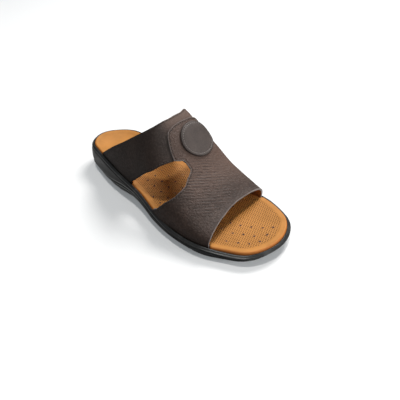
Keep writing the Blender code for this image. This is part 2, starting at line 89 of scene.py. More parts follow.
# along, heel share of the edge height, arch, heel spring, toe spring, flare, inner rise
SIDE: Table = (
    (-0.03, 1.01, 0.00, 1.00, 0.00, 1.40, 0.00),
    (0.05, 1.00, 0.00, 0.12, 0.00, 1.42, 0.00),
    (0.10, 1.00, 0.00, 0.00, 0.00, 1.45, 0.00),
    (0.18, 0.98, 0.00, 0.00, 0.00, 1.45, 0.03),
    (0.26, 0.86, 0.04, 0.00, 0.00, 1.30, 0.30),
    (0.34, 0.69, 0.60, 0.00, 0.00, 1.15, 0.78),
    (0.42, 0.53, 1.00, 0.00, 0.00, 1.00, 1.00),
    (0.50, 0.36, 0.66, 0.00, 0.00, 1.00, 0.80),
    (0.58, 0.18, 0.10, 0.00, 0.00, 1.00, 0.32),
    (0.66, 0.05, 0.00, 0.00, 0.00, 1.00, 0.05),
    (0.76, 0.00, 0.00, 0.00, 0.00, 1.00, 0.00),
    (0.82, 0.00, 0.00, 0.00, 0.02, 0.95, 0.00),
    (0.90, 0.02, 0.00, 0.00, 0.30, 0.85, 0.00),
    (0.96, 0.05, 0.00, 0.00, 0.70, 0.80, 0.00),
    (1.03, 0.09, 0.00, 0.00, 1.15, 0.80, 0.00),
)

# along, dish, arch pad
BED: Table = (
    (0.00, 0.20, 0.00),
    (0.12, 1.00, 0.00),
    (0.26, 0.62, 0.35),
    (0.40, 0.18, 1.00),
    (0.54, 0.20, 0.30),
    (0.66, 0.34, 0.00),
    (0.84, 0.40, 0.00),
    (1.00, 0.12, 0.00),
)

# height share, spread as a share of the side bulge
WALL: Table = (
    (0.00, -0.20),
    (0.08, 0.38),
    (0.24, 0.80),
    (0.48, 1.00),
    (0.74, 0.92),
    (0.91, 0.68),
    (1.00, 0.36),
)

# along, instep share of the rise, lean in metres per metre of half width
RIDGE: Table = (
    (0.10, 1.00, 0.36),
    (0.40, 1.00, 0.40),
    (0.48, 1.00, 0.42),
    (0.54, 0.835, 0.39),
    (0.60, 0.595, 0.29),
    (0.65, 0.415, 0.21),
    (0.70, 0.265, 0.15),
    (0.75, 0.13, 0.11),
    (0.80, 0.00, 0.08),
    (0.90, -0.11, 0.04),
)

# over, strap rear, strap front, vamp rear, vamp front
EDGES: Table = (
    (0.000, 0.147, 0.384, 0.402, 0.839),
    (0.060, 0.203, 0.426, 0.444, 0.840),
    (0.140, 0.272, 0.482, 0.500, 0.835),
    (0.220, 0.340, 0.535, 0.553, 0.828),
    (0.300, 0.402, 0.570, 0.588, 0.821),
    (0.360, 0.446, 0.591, 0.596, 0.817),
    (0.378, 0.458, 0.595, 0.574, 0.815),
    (0.403, 0.473, 0.600, 0.547, 0.813),
    (0.440, 0.488, 0.604, 0.526, 0.810),
    (0.500, 0.499, 0.606, 0.523, 0.807),
    (0.560, 0.499, 0.606, 0.523, 0.805),
    (0.620, 0.484, 0.604, 0.524, 0.805),
    (0.680, 0.454, 0.594, 0.524, 0.805),
    (0.740, 0.414, 0.569, 0.522, 0.805),
    (0.780, 0.382, 0.546, 0.520, 0.805),
    (0.800, 0.364, 0.532, 0.522, 0.805),
    (0.820, 0.345, 0.518, 0.536, 0.805),
    (0.860, 0.305, 0.488, 0.506, 0.804),
    (0.930, 0.230, 0.437, 0.455, 0.802),
    (1.000, 0.150, 0.388, 0.406, 0.800),
)

# over from the side's own edge, window rear, window front
OUTER_WINDOW: Table = (
    (-0.060, 0.350, 0.560),
    (0.000, 0.384, 0.561),
    (0.060, 0.426, 0.596),
    (0.140, 0.482, 0.632),
    (0.220, 0.535, 0.660),
    (0.300, 0.570, 0.667),
    (0.360, 0.591, 0.656),
    (0.395, 0.606, 0.650),
    (0.415, 0.611, 0.643),
)
INNER_WINDOW: Table = (
    (-0.060, 0.350, 0.552),
    (0.000, 0.388, 0.553),
    (0.070, 0.437, 0.580),
    (0.140, 0.488, 0.590),
    (0.185, 0.522, 0.584),
    (0.208, 0.541, 0.572),
)

# Small holes in the toe's three curved rows, across and along in metres
TOE_HOLES: Table = (
    (-0.0035, -0.2223), (0.0002, -0.2324), (0.0052, -0.2421), (0.0114, -0.2515), (0.0182, -0.2590),
    (-0.0160, -0.2209), (-0.0144, -0.2341), (-0.0090, -0.2432), (-0.0043, -0.2530), (0.0049, -0.2614),
    (-0.0311, -0.2244), (-0.0278, -0.2373), (-0.0222, -0.2474), (-0.0165, -0.2562), (-0.0076, -0.2621),
)

# along, height shares of the flowing ridges from the lowest to the highest, strength of each
RIDGES: Table = (
    (-0.03, 0.05, 0.12, 0.20, 0.0, 0.9, 0.9),
    (0.12, 0.05, 0.12, 0.21, 0.0, 0.9, 0.9),
    (0.20, 0.07, 0.18, 0.30, 0.4, 1.0, 1.0),
    (0.28, 0.13, 0.31, 0.48, 0.9, 1.0, 1.0),
    (0.36, 0.20, 0.42, 0.62, 1.0, 1.0, 1.0),
    (0.46, 0.24, 0.44, 0.64, 1.0, 1.0, 0.8),
    (0.56, 0.26, 0.44, 0.62, 0.6, 1.0, 0.4),
    (0.66, 0.24, 0.46, 0.66, 0.5, 1.0, 0.4),
    (0.80, 0.22, 0.46, 0.68, 0.6, 1.0, 0.4),
    (1.03, 0.22, 0.46, 0.68, 0.6, 1.0, 0.4),
)


class Side(Enum):
    """The two sides of the foot."""

    OUTER = "outer"
    INNER = "inner"


class Slot(Enum):
    """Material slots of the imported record."""

    TREAD = "tread_rubber"
    SOLE = "sole_rubber"
    BED = "footbed_leather"
    UPPER = "upper_leather"
    PATCH = "medallion_leather"


# Curves and the last


def smooth_column(table: Table, column: int, shares: Array | float) -> Array:
    """Read a column of a table as a smooth curve through its rows.

    Args:
        table: Rows whose first value is the knot.
        column: Column to read.
        shares: Places along the knots.

    Returns:
        The values at the shares.
    """
    rows = np.asarray(table)
    knots = rows[:, 0]
    values = rows[:, column]
    slopes = np.diff(values) / np.diff(knots)
    tangents = np.zeros_like(values)
    turning = slopes[:-1] * slopes[1:] <= 0
    inner = 2 * slopes[:-1] * slopes[1:] / np.where(turning, 1, slopes[:-1] + slopes[1:])
    tangents[1:-1] = np.where(turning, 0, inner)
    tangents[0] = slopes[0]
    tangents[-1] = slopes[-1]
    where = np.clip(shares, knots[0], knots[-1])
    piece = np.clip(np.searchsorted(knots, where, side="right") - 1, 0, len(knots) - 2)
    span = knots[piece + 1] - knots[piece]
    part = (where - knots[piece]) / span
    rise = values[piece + 1] - values[piece]
    start = tangents[piece] * span
    end = tangents[piece + 1] * span
    bend = part * (1 - part) * (start * (1 - part) - end * part)
    return values[piece] + rise * part * part * (3 - 2 * part) + bend


def closed_spline(points: Array, samples: int) -> tuple[Array, Array]:
    """Sample the smooth closed curve through the points.

    Args:
        points: Plan points in order.
        samples: Number of samples.

    Returns:
        The samples and their outward normals in plan.
    """
    count = len(points)
    ahead = np.roll(points, -1, axis=0)
    spans = np.linalg.norm(ahead - points, axis=1) ** 0.5
    knots = np.concatenate([[0], np.cumsum(spans)])
    matrix = np.zeros((count, count))
    right = np.zeros((count, 2))
    for index in range(count):
        before = spans[index - 1]
        after = spans[index]
        matrix[index, index - 1] += after
        matrix[index, index] += 2 * (before + after)
        matrix[index, (index + 1) % count] += before
        step_before = (points[index] - points[index - 1]) / before
        step_after = (ahead[index] - points[index]) / after
        right[index] = 3 * (after * step_before + before * step_after)
    tangents = np.linalg.solve(matrix, right)
    where = np.linspace(0, knots[-1], samples + 1)[:-1]
    piece = np.clip(np.searchsorted(knots, where, side="right") - 1, 0, count - 1)
    span = spans[piece][:, None]
    part = (where - knots[piece])[:, None] / span
    start = tangents[piece] * span
    end = tangents[(piece + 1) % count] * span
    rise = ahead[piece] - points[piece]
    curve = points[piece] + rise * part**2 * (3 - 2 * part)
    curve = curve + part * (1 - part) * (start * (1 - part) - end * part)
    along = np.roll(curve, -1, axis=0) - np.roll(curve, 1, axis=0)
    along /= np.linalg.norm(along, axis=1)[:, None]
    return curve, np.stack([-along[:, 1], along[:, 0]], axis=1)


def ease(value: Array | float, start: float, end: float) -> Array:
    """Smooth step of a value from 0 at the start to 1 at the end."""
    part = np.clip((np.asarray(value) - start) / (end - start), 0, 1)
    return part * part * (3 - 2 * part)


def bump(value: Array | float, centre: Array | float, width: float) -> Array:
    """Soft hill of height 1 at the centre."""
    return np.exp(-(((np.asarray(value) - centre) / width) ** 2))


def crowded(steps: int) -> Array:
    """Shares from 0 to 1, close together at both ends."""
    return (1 - np.cos(np.linspace(0, math.pi, steps + 1))) / 2


def with_height(plan: Array, height: Array | float) -> Array:
    """Plan points with their heights as the last coordinate."""
    return np.concatenate([plan, np.broadcast_to(height, plan.shape[:-1])[..., None]], axis=-1)


def run_length(line: Array) -> Array:
    """Length along a line of points up to each of them."""
    return np.concatenate([[0], np.cumsum(np.linalg.norm(np.diff(line, axis=0), axis=1))])


def read_line(where: Array, length: Array, line: Array) -> Array:
    """Points of a line at lengths along it."""
    return np.stack([np.interp(where, length, column) for column in line.T], axis=1)


@dataclass(frozen=True)
class LastSizes:
    """Sizes of the last and of the clearances that every piece shares, in metres."""

    footbed_length: float = 0.2750
    heel_width: float = 0.0675
    ball_width: float = 0.1025
    heel_height: float = 0.0344
    ball_height: float = 0.0150
    instep_rise: float = 0.0840
    toe_rise: float = 0.0205
    toe_spring: float = 0.0038
    heel_spring: float = 0.0022
    arch_lift: float = 0.0060
    arch_edge_rise: float = 0.0068
    upper_bulge: float = 0.0015
    side_bulge: float = 0.0036
    gap: float = 0.0003
    leather: float = 0.0022
    tread: float = 0.0042
    heel_bed: float = 0.0090
    ball_bed: float = 0.0062
    width_power: float = 0.714
    height_power: float = 0.80
    heel_tip: float = 0.055
    toe_tip: float = 0.044
    outline_samples: int = 1200
    lattice: int = 321
    lattice_start: float = 0.08
    lattice_end: float = 0.92


class Last:
    """The form of the foot over which the sandal is made."""

    def __init__(self, sizes: LastSizes) -> None:
        """Lay out the outline and the lattice over the last.

        Args:
            sizes: Sizes of the last.
        """
        self.sizes = sizes
        inner = []
        outer = []
        for along, ball_share, inner_share, outer_share in PLAN:
            width = sizes.heel_width + (sizes.ball_width - sizes.heel_width) * ball_share
            inner.append((width * inner_share, -along * sizes.footbed_length))
            outer.append((-width * outer_share, -along * sizes.footbed_length))
        heel = (sizes.heel_width * sizes.heel_tip, 0.0)
        toe = (sizes.ball_width * sizes.toe_tip, -sizes.footbed_length)
        ring = np.array([heel] + inner + [toe] + outer[::-1])
        self.outline, self.outward = closed_spline(ring, sizes.outline_samples)
        bulge = sizes.side_bulge * self.flare(self.share(self.outline[:, 1]))
        border = self.outline + self.outward * bulge[:, None]
        self.middle = (border.min(axis=0) + border.max(axis=0)) / 2
        self._lay_sections()

    def share(self, y: Array) -> Array:
        """Plan share of a place along the foot."""
        return -y / self.sizes.footbed_length

    def flare(self, shares: Array) -> Array:
        """How much further than at the ball the side wall stands out."""
        return smooth_column(SIDE, 5, shares)

    def edge_height(self, shares: Array) -> Array:
        """Height of the footbed's top edge above the floor."""
        sizes = self.sizes
        heel_share = smooth_column(SIDE, 1, shares)
        return sizes.ball_height + (sizes.heel_height - sizes.ball_height) * heel_share

    def bed_thickness(self, shares: Array) -> Array:
        """Depth of the recess that takes the footbed's edge."""
        sizes = self.sizes
        return sizes.ball_bed + (sizes.heel_bed - sizes.ball_bed) * smooth_column(SIDE, 1, shares)

    def tread_lift(self, shares: Array) -> Array:
        """Height of the tread's underside above the floor."""
        arch = self.sizes.arch_lift * smooth_column(SIDE, 2, shares)
        heel = self.sizes.heel_spring * smooth_column(SIDE, 3, shares)
        return arch + heel + self.sizes.toe_spring * smooth_column(SIDE, 4, shares)

    def inner_rise(self, shares: Array, across: Array | float) -> Array:
        """Extra height of the edge beside the arch. Across runs from -1, outer, to 1, inner."""
        lift = self.sizes.arch_edge_rise * smooth_column(SIDE, 6, shares)
        return lift * np.clip(across, 0, 1) ** 2

    @staticmethod
    def across(side: Array, along: Array | float) -> Array:
        """Place across of one side of the outline at places along the foot."""
        return np.interp(-along, -side[:, 1], side[:, 0])

    def side_edges(self, spread: Array | float) -> tuple[Array, Array]:
        """Find both sides of the outline when it is moved outwards.

        Args:
            spread: How far each sample moves outwards.

        Returns:
            The inner and the outer side, each from heel to toe.
        """
        moved = self.outline + self.outward * np.reshape(spread, (-1, 1))
        moved = np.roll(moved, -int(moved[:, 1].argmax()), axis=0)
        toe = int(moved[:, 1].argmin())
        return moved[: toe + 1], np.vstack([moved[toe:], moved[:1]])[::-1]

    def plan_grid(self, shares: Array, spread: Array | float, columns: int) -> Array:
        """Lay rows of plan points across the outline.

        Args:
            shares: Rows from heel to toe.
            spread: How far each sample of the outline moves outwards.
            columns: Number of steps across.

        Returns:
            Points of shape rows, columns + 1, 2, from the outer to the inner side.
        """
        inner, outer = self.side_edges(spread)
        along = inner[0, 1] + np.asarray(shares) * (inner[-1, 1] - inner[0, 1])
        inner_x, outer_x = self.across(inner, along), self.across(outer, along)
        across = 0.5 * crowded(columns) + 0.5 * np.linspace(0, 1, columns + 1)
        x = outer_x[:, None] + (inner_x - outer_x)[:, None] * across
        return np.stack([x, np.broadcast_to(along[:, None], x.shape)], axis=2)

    def _lay_sections(self) -> None:
        """Lay the fine lattice of points and normals over the last."""
        sizes = self.sizes
        count = sizes.lattice
        shares = np.linspace(sizes.lattice_start, sizes.lattice_end, count)
        along = -shares * sizes.footbed_length
        inner_x, outer_x = (self.across(side, along) for side in self.side_edges(0.0))
        base = self.edge_height(shares)
        ridge = smooth_column(RIDGE, 1, shares)
        rise = sizes.toe_rise + (sizes.instep_rise - sizes.toe_rise) * ridge
        lean = smooth_column(RIDGE, 2, shares)
        turn = np.linspace(0, math.pi, 4 * count)
        run = np.sign(np.cos(turn)) * np.abs(np.cos(turn)) ** sizes.width_power
        up = np.sin(turn) ** sizes.height_power
        swell = sizes.upper_bulge * np.sin(turn) ** 0.5
        points = np.empty((count, count, 3))
        for index in range(count):
            half = (inner_x[index] - outer_x[index]) / 2
            middle = (inner_x[index] + outer_x[index]) / 2
            x = middle - (half + swell) * run + half * lean[index] * np.sin(turn) ** 2
            z = base[index] + rise[index] * up
            z += self.inner_rise(shares[index], (x - middle) / half) * (1 - up)
            girth = np.concatenate([[0], np.cumsum(np.hypot(np.diff(x), np.diff(z)))])
            even = np.linspace(0, girth[-1], count)
            points[index, :, 0] = np.interp(even, girth, x)
            points[index, :, 1] = along[index]
            points[index, :, 2] = np.interp(even, girth, z)
        normals = np.cross(np.gradient(points, axis=0), np.gradient(points, axis=1))
        normals /= np.linalg.norm(normals, axis=2)[:, :, None]
        if normals[count // 2, count // 2, 2] < 0:
            normals = -normals
        self.shares, self.points, self.normals = shares, points, normals

    def read(self, over: Array, along: Array) -> tuple[Array, Array]:
        """Read the lattice at over and along shares.

        Args:
            over: Over shares.
            along: Plan shares.

        Returns:
            Points on the last and their unit normals.
        """
        count = self.sizes.lattice
        over, along = np.broadcast_arrays(over, along)
        pitch = self.shares[1] - self.shares[0]
        row = np.clip((along - self.shares[0]) / pitch, 0, count - 1.001)
        column = np.clip(over, 0, 1) * (count - 1.001)
        low_row, low_column = row.astype(int), column.astype(int)
        row_part, column_part = (row - low_row)[..., None], (column - low_column)[..., None]

        def blend(lattice: Array) -> Array:
            """Bilinear reading of one lattice."""
            low = lattice[low_row, low_column] * (1 - column_part)
            low = low + lattice[low_row, low_column + 1] * column_part
            high = lattice[low_row + 1, low_column] * (1 - column_part)
            high = high + lattice[low_row + 1, low_column + 1] * column_part
            return low * (1 - row_part) + high * row_part

        normals = blend(self.normals)
        normals /= np.linalg.norm(normals, axis=-1)[..., None]
        return blend(self.points), normals

    def on(self, over: Array, along: Array, lift: Array | float) -> Array:
        """Points on the last raised off it by the lift."""
        points, normals = self.read(over, along)
        return points + normals * np.broadcast_to(lift, points.shape[:-1])[..., None]

    def home(self, points: Array) -> Array:
        """Move points from the last's place to the sandal's place over the origin."""
        moved = np.array(points, dtype=float)
        moved[..., :2] -= self.middle
        return moved


# Meshes


def grid_faces(rows: int, columns: int, first: int = 0, keep: Array | None = None) -> Faces:
    """List the quads of a grid of points.

    Args:
        rows: Rows of points.
        columns: Columns of points.
        first: Index of the first point.
        keep: Cells to keep, or None for all.

    Returns:
        Quads as vertex indices.
    """
    faces = []
    for row in range(rows - 1):
        for column in range(columns - 1):
            if keep is None or keep[row, column]:
                corner = first + row * columns + column
                faces.append((corner, corner + 1, corner + columns + 1, corner + columns))
    return faces


def ring_faces(rings: int, around: int, first: int = 0) -> Faces:
    """List the quads between closed rings of points.

    Args:
        rings: Number of rings.
        around: Points in each ring.
        first: Index of the first point.

    Returns:
        Quads as vertex indices.
    """
    faces = []
    for low in range(first, first + (rings - 1) * around, around):
        high = low + around
        for index in range(around):
            ahead = (index + 1) % around
            faces.append((low + index, low + ahead, high + ahead, high + index))
    return faces


def store(mesh: Mesh, name: str, values: Array) -> None:
    """Store a number or a vector for each point of a mesh."""
    vectors = values.ndim == 2
    layer = mesh.attributes.new(name, "FLOAT_VECTOR" if vectors else "FLOAT", "POINT")
    layer.data.foreach_set("vector" if vectors else "value", values.astype(np.float32).ravel())


def make_mesh(
    name: str,
    points: Array,
    faces: Faces,
    attributes: dict[str, Array] | None = None,
    slots: list[int] | None = None,
) -> Mesh:
    """Make a clean mesh with outward faces.

    Args:
        name: Name of the mesh.
        points: Points in the sandal's place.
        faces: Faces as vertex indices.
        attributes: Values for each point, as numbers or vectors.
        slots: Material slot of each face.

    Returns:
        The mesh, smooth shaded.
    """
    mesh = bpy.data.meshes.new(name)
    mesh.from_pydata(np.asarray(points, dtype=float).tolist(), [], faces)
    for key, values in (attributes or {}).items():
        store(mesh, key, values)
    if slots is not None:
        mesh.polygons.foreach_set("material_index", slots)
    work = bmesh.new()
    work.from_mesh(mesh)
    bmesh.ops.remove_doubles(work, verts=work.verts, dist=2e-6)
    bmesh.ops.dissolve_degenerate(work, edges=work.edges, dist=1e-7)
    bmesh.ops.recalc_face_normals(work, faces=work.faces)
    loose = [point for point in work.verts if not point.link_faces]
    bmesh.ops.delete(work, geom=loose, context="VERTS")
    work.to_mesh(mesh)
    work.free()
    mesh.shade_smooth()
    return mesh


def show(name: str, mesh: Mesh, materials: Sequence[Material]) -> Piece:
    """Show a mesh as an object at the origin.

    Args:
        name: Name of the piece.
        mesh: Its mesh.
        materials: Materials in slot order.

    Returns:
        The object.
    """
    for material in materials:
        mesh.materials.append(material)
    piece = bpy.data.objects.new(name, mesh)
    bpy.context.scene.collection.objects.link(piece)
    return piece


def settle(piece: Piece) -> Piece:
    """Turn a piece and its live modifiers into a plain mesh.

    Args:
        piece: Object whose modifiers are set.

    Returns:
        The same object with the result as its mesh and no modifiers.
    """
    bpy.context.view_layer.update()
    graph = bpy.context.evaluated_depsgraph_get()
    result = bpy.data.meshes.new_from_object(piece.evaluated_get(graph), depsgraph=graph)
    piece.modifiers.clear()
    piece.data = result
    return piece


def soften_rims(piece: Piece, width: float, segments: int, angle: float = 50.0) -> None:
    """Round the sharp rims of a piece.

    Args:
        piece: Piece to round.
        width: Width of the rounding in metres.
        segments: Steps of the rounding.
        angle: Smallest angle in degrees of a rim.
    """
    modifier = piece.modifiers.new("soft_rims", "BEVEL")
    modifier.width = width
    modifier.segments = segments
    modifier.limit_method = "ANGLE"
    modifier.angle_limit = math.radians(angle)
    modifier.use_clamp_overlap = True


def distance_to(points: Array, targets: Array) -> Array:
    """Distance from each point to the nearest target, in metres."""
    tree = KDTree(len(targets))
    for index, target in enumerate(targets):
        tree.insert(target, index)
    tree.balance()
    return np.array([tree.find(point)[2] for point in points])


def register(piece: Piece, node: str) -> None:
    """Hide the CAD node that a piece stands for, attach the piece to the root body and report it.

    Args:
        piece: Finished piece.
        node: CAD node that it stands for.
    """
    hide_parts(node)
    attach(piece, "root")
    LOG.info("%s: %d faces for %s", piece.name, len(piece.data.polygons), node)


# Shader and geometry trees


class Tree:
    """A node tree that is built a node at a time."""

    def __init__(self, tree: bpy.types.NodeTree) -> None:
        """Hold the tree."""
        self.tree = tree

    def add(
        self, kind: str, inputs: dict[str | int, Input] | None = None, **settings: object
    ) -> Node:
        """Add a node.

        Args:
            kind: Type of the node.
            inputs: Values or sockets for its inputs, by name or number.
            settings: Properties of the node.

        Returns:
            The node.
        """
        node = self.tree.nodes.new(kind)
        for key, value in settings.items():
            setattr(node, key, value)
        for key, value in (inputs or {}).items():
            self.feed(node.inputs[key], value)
        return node

    def feed(self, socket: Socket, value: Input) -> None:
        """Link a socket to an input, or set the input's value."""
        if isinstance(value, Socket):
            self.tree.links.new(value, socket)
        else:
            socket.default_value = value

    def math(self, operation: str, *values: Input) -> Socket:
        """Result of a Math node."""
        return self.add("ShaderNodeMath", dict(enumerate(values)), operation=operation).outputs[0]

    def ramp(
        self, value: Input, low: float, high: float, start: float = 0.0, end: float = 1.0
    ) -> Socket:
        """Smooth map of a value from low..high to start..end."""
        inputs = {"Value": value, "From Min": low, "From Max": high, "To Min": start, "To Max": end}
        return self.add("ShaderNodeMapRange", inputs, interpolation_type="SMOOTHSTEP").outputs[0]

    def mix(self, factor: Input, first: Input, second: Input) -> Socket:
        """Mix of two colours."""
        colours = {0: factor, 6: first, 7: second}
        return self.add("ShaderNodeMix", colours, data_type="RGBA").outputs[2]

    def noise(self, vector: Input, scale: Input, detail: float = 2.0, rough: float = 0.5) -> Socket:
        """Value of a noise."""
        inputs = {"Vector": vector, "Scale": scale, "Detail": detail, "Roughness": rough}
        return self.add("ShaderNodeTexNoise", inputs).outputs[0]


class Group(Tree):
    """A shader node group with named inputs, and named outputs that are numbers."""

    def __init__(self, name: str, inputs: dict[str, float | str], *outputs: str) -> None:
        """Make the group's sockets.

        Args:
            name: Name of the group.
            inputs: Names with a default number, or "vector".
            outputs: Names of the outputs.
        """
        super().__init__(bpy.data.node_groups.new(name, "ShaderNodeTree"))
        face = self.tree.interface
        for key, value in inputs.items():
            if value == "vector":
                face.new_socket(key, in_out="INPUT", socket_type="NodeSocketVector")
            else:
                socket = face.new_socket(key, in_out="INPUT", socket_type="NodeSocketFloat")
                socket.default_value = value
        for key in outputs:
            face.new_socket(key, in_out="OUTPUT", socket_type="NodeSocketFloat")
        self.given = self.add("NodeGroupInput").outputs
        self.result = self.add("NodeGroupOutput").inputs

    def give(self, **values: Socket) -> Group:
        """Link the outputs and return the group."""
        for key, value in values.items():
            self.feed(self.result[key], value)
        return self

    def place(self, tree: Tree, inputs: dict[str, Input]) -> bpy.types.bpy_prop_collection:
        """Place the group in a tree and return its outputs."""
        node = tree.add("ShaderNodeGroup", inputs, node_tree=self.tree)
        return node.outputs


class Effects:
    """The shared effects: grain, ripples, a sewn channel and embossed dots."""

    def __init__(self) -> None:
        """Build each effect once."""
        self.grain = self._grain()
        self.ripples = self._ripples()
        self.channel = self._channel()
        self.dots = self._dots()

    @staticmethod
    def _grain() -> Group:
        """Pebbles of leather or rubber: cell height, fine pores and a slow change of tone."""
        inputs = {"Vector": "vector", "Scale": 1.0, "Tone Scale": 1.0}
        group = Group("pebble_grain", inputs, "Height", "Tone")
        vector, scale, tone_scale = group.given[:3]
        sizes = {"Vector": vector, "Scale": scale, "Smoothness": 0.6}
        cells = group.add("ShaderNodeTexVoronoi", sizes, feature="SMOOTH_F1").outputs["Distance"]
        pores = group.noise(vector, group.math("MULTIPLY", scale, 2.7), 3.0)
        height = group.math("MULTIPLY_ADD", cells, -0.8, pores)
        return group.give(Height=height, Tone=group.noise(vector, tone_scale, 3.0, 0.6))

    @staticmethod
    def _ripples() -> Group:
        """Wavy parallel creases across a direction, which fade in and out."""
        inputs = {"Vector": "vector", "Direction": "vector", "Spacing": 0.0034, "Swing": 0.00288}
        group = Group("soft_ripples", inputs, "Height")
        vector, direction, spacing, swing = group.given[:4]
        vectors = {0: vector, 1: direction}
        across = group.add("ShaderNodeVectorMath", vectors, operation="DOT_PRODUCT").outputs["Value"]
        drift = group.math("SUBTRACT", group.noise(vector, 95.0), 0.5)
        place = group.math("ADD", across, group.math("MULTIPLY", drift, swing))
        turns = group.math("DIVIDE", place, spacing)
        wave = group.math("SINE", group.math("MULTIPLY", turns, 2 * math.pi))
        patch = group.ramp(group.noise(vector, 230.0), 0.34, 0.54)
        return group.give(Height=group.math("MULTIPLY", wave, patch))

    @staticmethod
    def _channel() -> Group:
        """A pressed line at a distance from the cut edge, and the rim outside it."""
        inputs = {"Distance": 9.0, "Line At": 2.4, "Line Width": 0.8, "Rim": 0.7}
        group = Group("sewn_channel", inputs, "Line", "Rim")
        distance, line_at, width, rim = group.given[:4]
        away = group.math("ABSOLUTE", group.math("SUBTRACT", distance, line_at))
        line = group.ramp(group.math("DIVIDE", away, width), 0.0, 1.0, 1.0, 0.0)
        near = group.ramp(group.math("DIVIDE", distance, rim), 0.4, 1.2, 1.0, 0.0)
        return group.give(Line=line, Rim=near)

    @staticmethod
    def _dots() -> Group:
        """Round embossed dots in a staggered lattice over the plan."""
        group = Group("embossed_dots", {"Vector": "vector", "Pitch": 0.0024, "Size": 0.34}, "Dot")
        vector, pitch, size = group.given[:3]
        x, y = group.add("ShaderNodeSeparateXYZ", {0: vector}).outputs[:2]
        row_step = math.sqrt(3) / 2
        row = group.math("DIVIDE", y, group.math("MULTIPLY", pitch, row_step))
        odd = group.math("FLOORED_MODULO", group.math("FLOOR", row), 2.0)
        shift = group.math("MULTIPLY", odd, 0.5)
        column = group.math("ADD", group.math("DIVIDE", x, pitch), shift)
        near_x = group.math("SUBTRACT", group.math("FRACT", column), 0.5)
        near_y = group.math("SUBTRACT", group.math("FRACT", row), 0.5)
        near_y = group.math("MULTIPLY", near_y, row_step)
        squares = [group.math("POWER", near, 2.0) for near in (near_x, near_y)]
        far = group.math("DIVIDE", group.math("SQRT", group.math("ADD", *squares)), size)
        return group.give(Dot=group.ramp(far, 0.45, 1.0, 1.0, 0.0))


def shade(colour: Sequence[float], factor: float) -> tuple[float, ...]:
    """A colour made lighter or darker."""
    return tuple(min(1.0, value * factor) for value in colour[:3]) + (1.0,)


class Coat(Tree):
    """The tree of a material, with its shader, its grain and its Object coordinates."""

    def __init__(self, name: str, effects: Effects, scale: float, tone_scale: float) -> None:
        """Start the material.

        Args:
            name: Name of the material.
            effects: Shared effects.
            scale: Scale of the grain's pebbles.
            tone_scale: Scale of its slow change of tone.
        """
        self.material = bpy.data.materials.new(name)
        self.material.use_nodes = True
        super().__init__(self.material.node_tree)
        self.shader = self.tree.nodes["Principled BSDF"]
        self.place = self.add("ShaderNodeTexCoord").outputs["Object"]
        sizes = {"Vector": self.place, "Scale": scale, "Tone Scale": tone_scale}
        self.grain = effects.grain.place(self, sizes)

    def attribute(self, name: str) -> Socket:
        """Number that the mesh carries under a name."""
        return self.add("ShaderNodeAttribute", attribute_name=name).outputs["Fac"]

    def toned(
        self, colour: Sequence[float], dark: float, light: float, low: float = 0.3, high: float = 0.7
    ) -> Socket:
        """The colour as it changes slowly from a darker to a lighter shade."""
        factor = self.ramp(self.grain["Tone"], low, high)
        return self.mix(factor, shade(colour, dark), shade(colour, light))

    def lay(self, tone: Input, mask: Input, strength: float, colour: Sequence[float]) -> Socket:
        """The tone with a colour laid over it where the mask is."""
        return self.mix(self.math("MULTIPLY", mask, strength), tone, colour)

    def finish(
        self, tone: Input, roughness: Input, heights: Sequence[tuple[Input, float]], gloss: float = 0.5
    ) -> Material:
        """Feed the shader.

        Args:
            tone: Its colour.
            roughness: Its roughness.
            heights: Heights of its bumps from 0 to 1, with their depths in metres.
            gloss: Its specular level.

        Returns:
            The material.
        """
        inputs = self.shader.inputs
        self.feed(inputs["Base Color"], tone)
        self.feed(inputs["Roughness"], roughness)
        inputs["Specular IOR Level"].default_value = gloss
        normal = None
        for height, depth in heights:
            bumps = {"Height": height, "Distance": depth, "Strength": 1.0}
            if normal is not None:
                bumps["Normal"] = normal
            normal = self.add("ShaderNodeBump", bumps).outputs["Normal"]
        if normal is not None:
            self.feed(inputs["Normal"], normal)
        return self.material


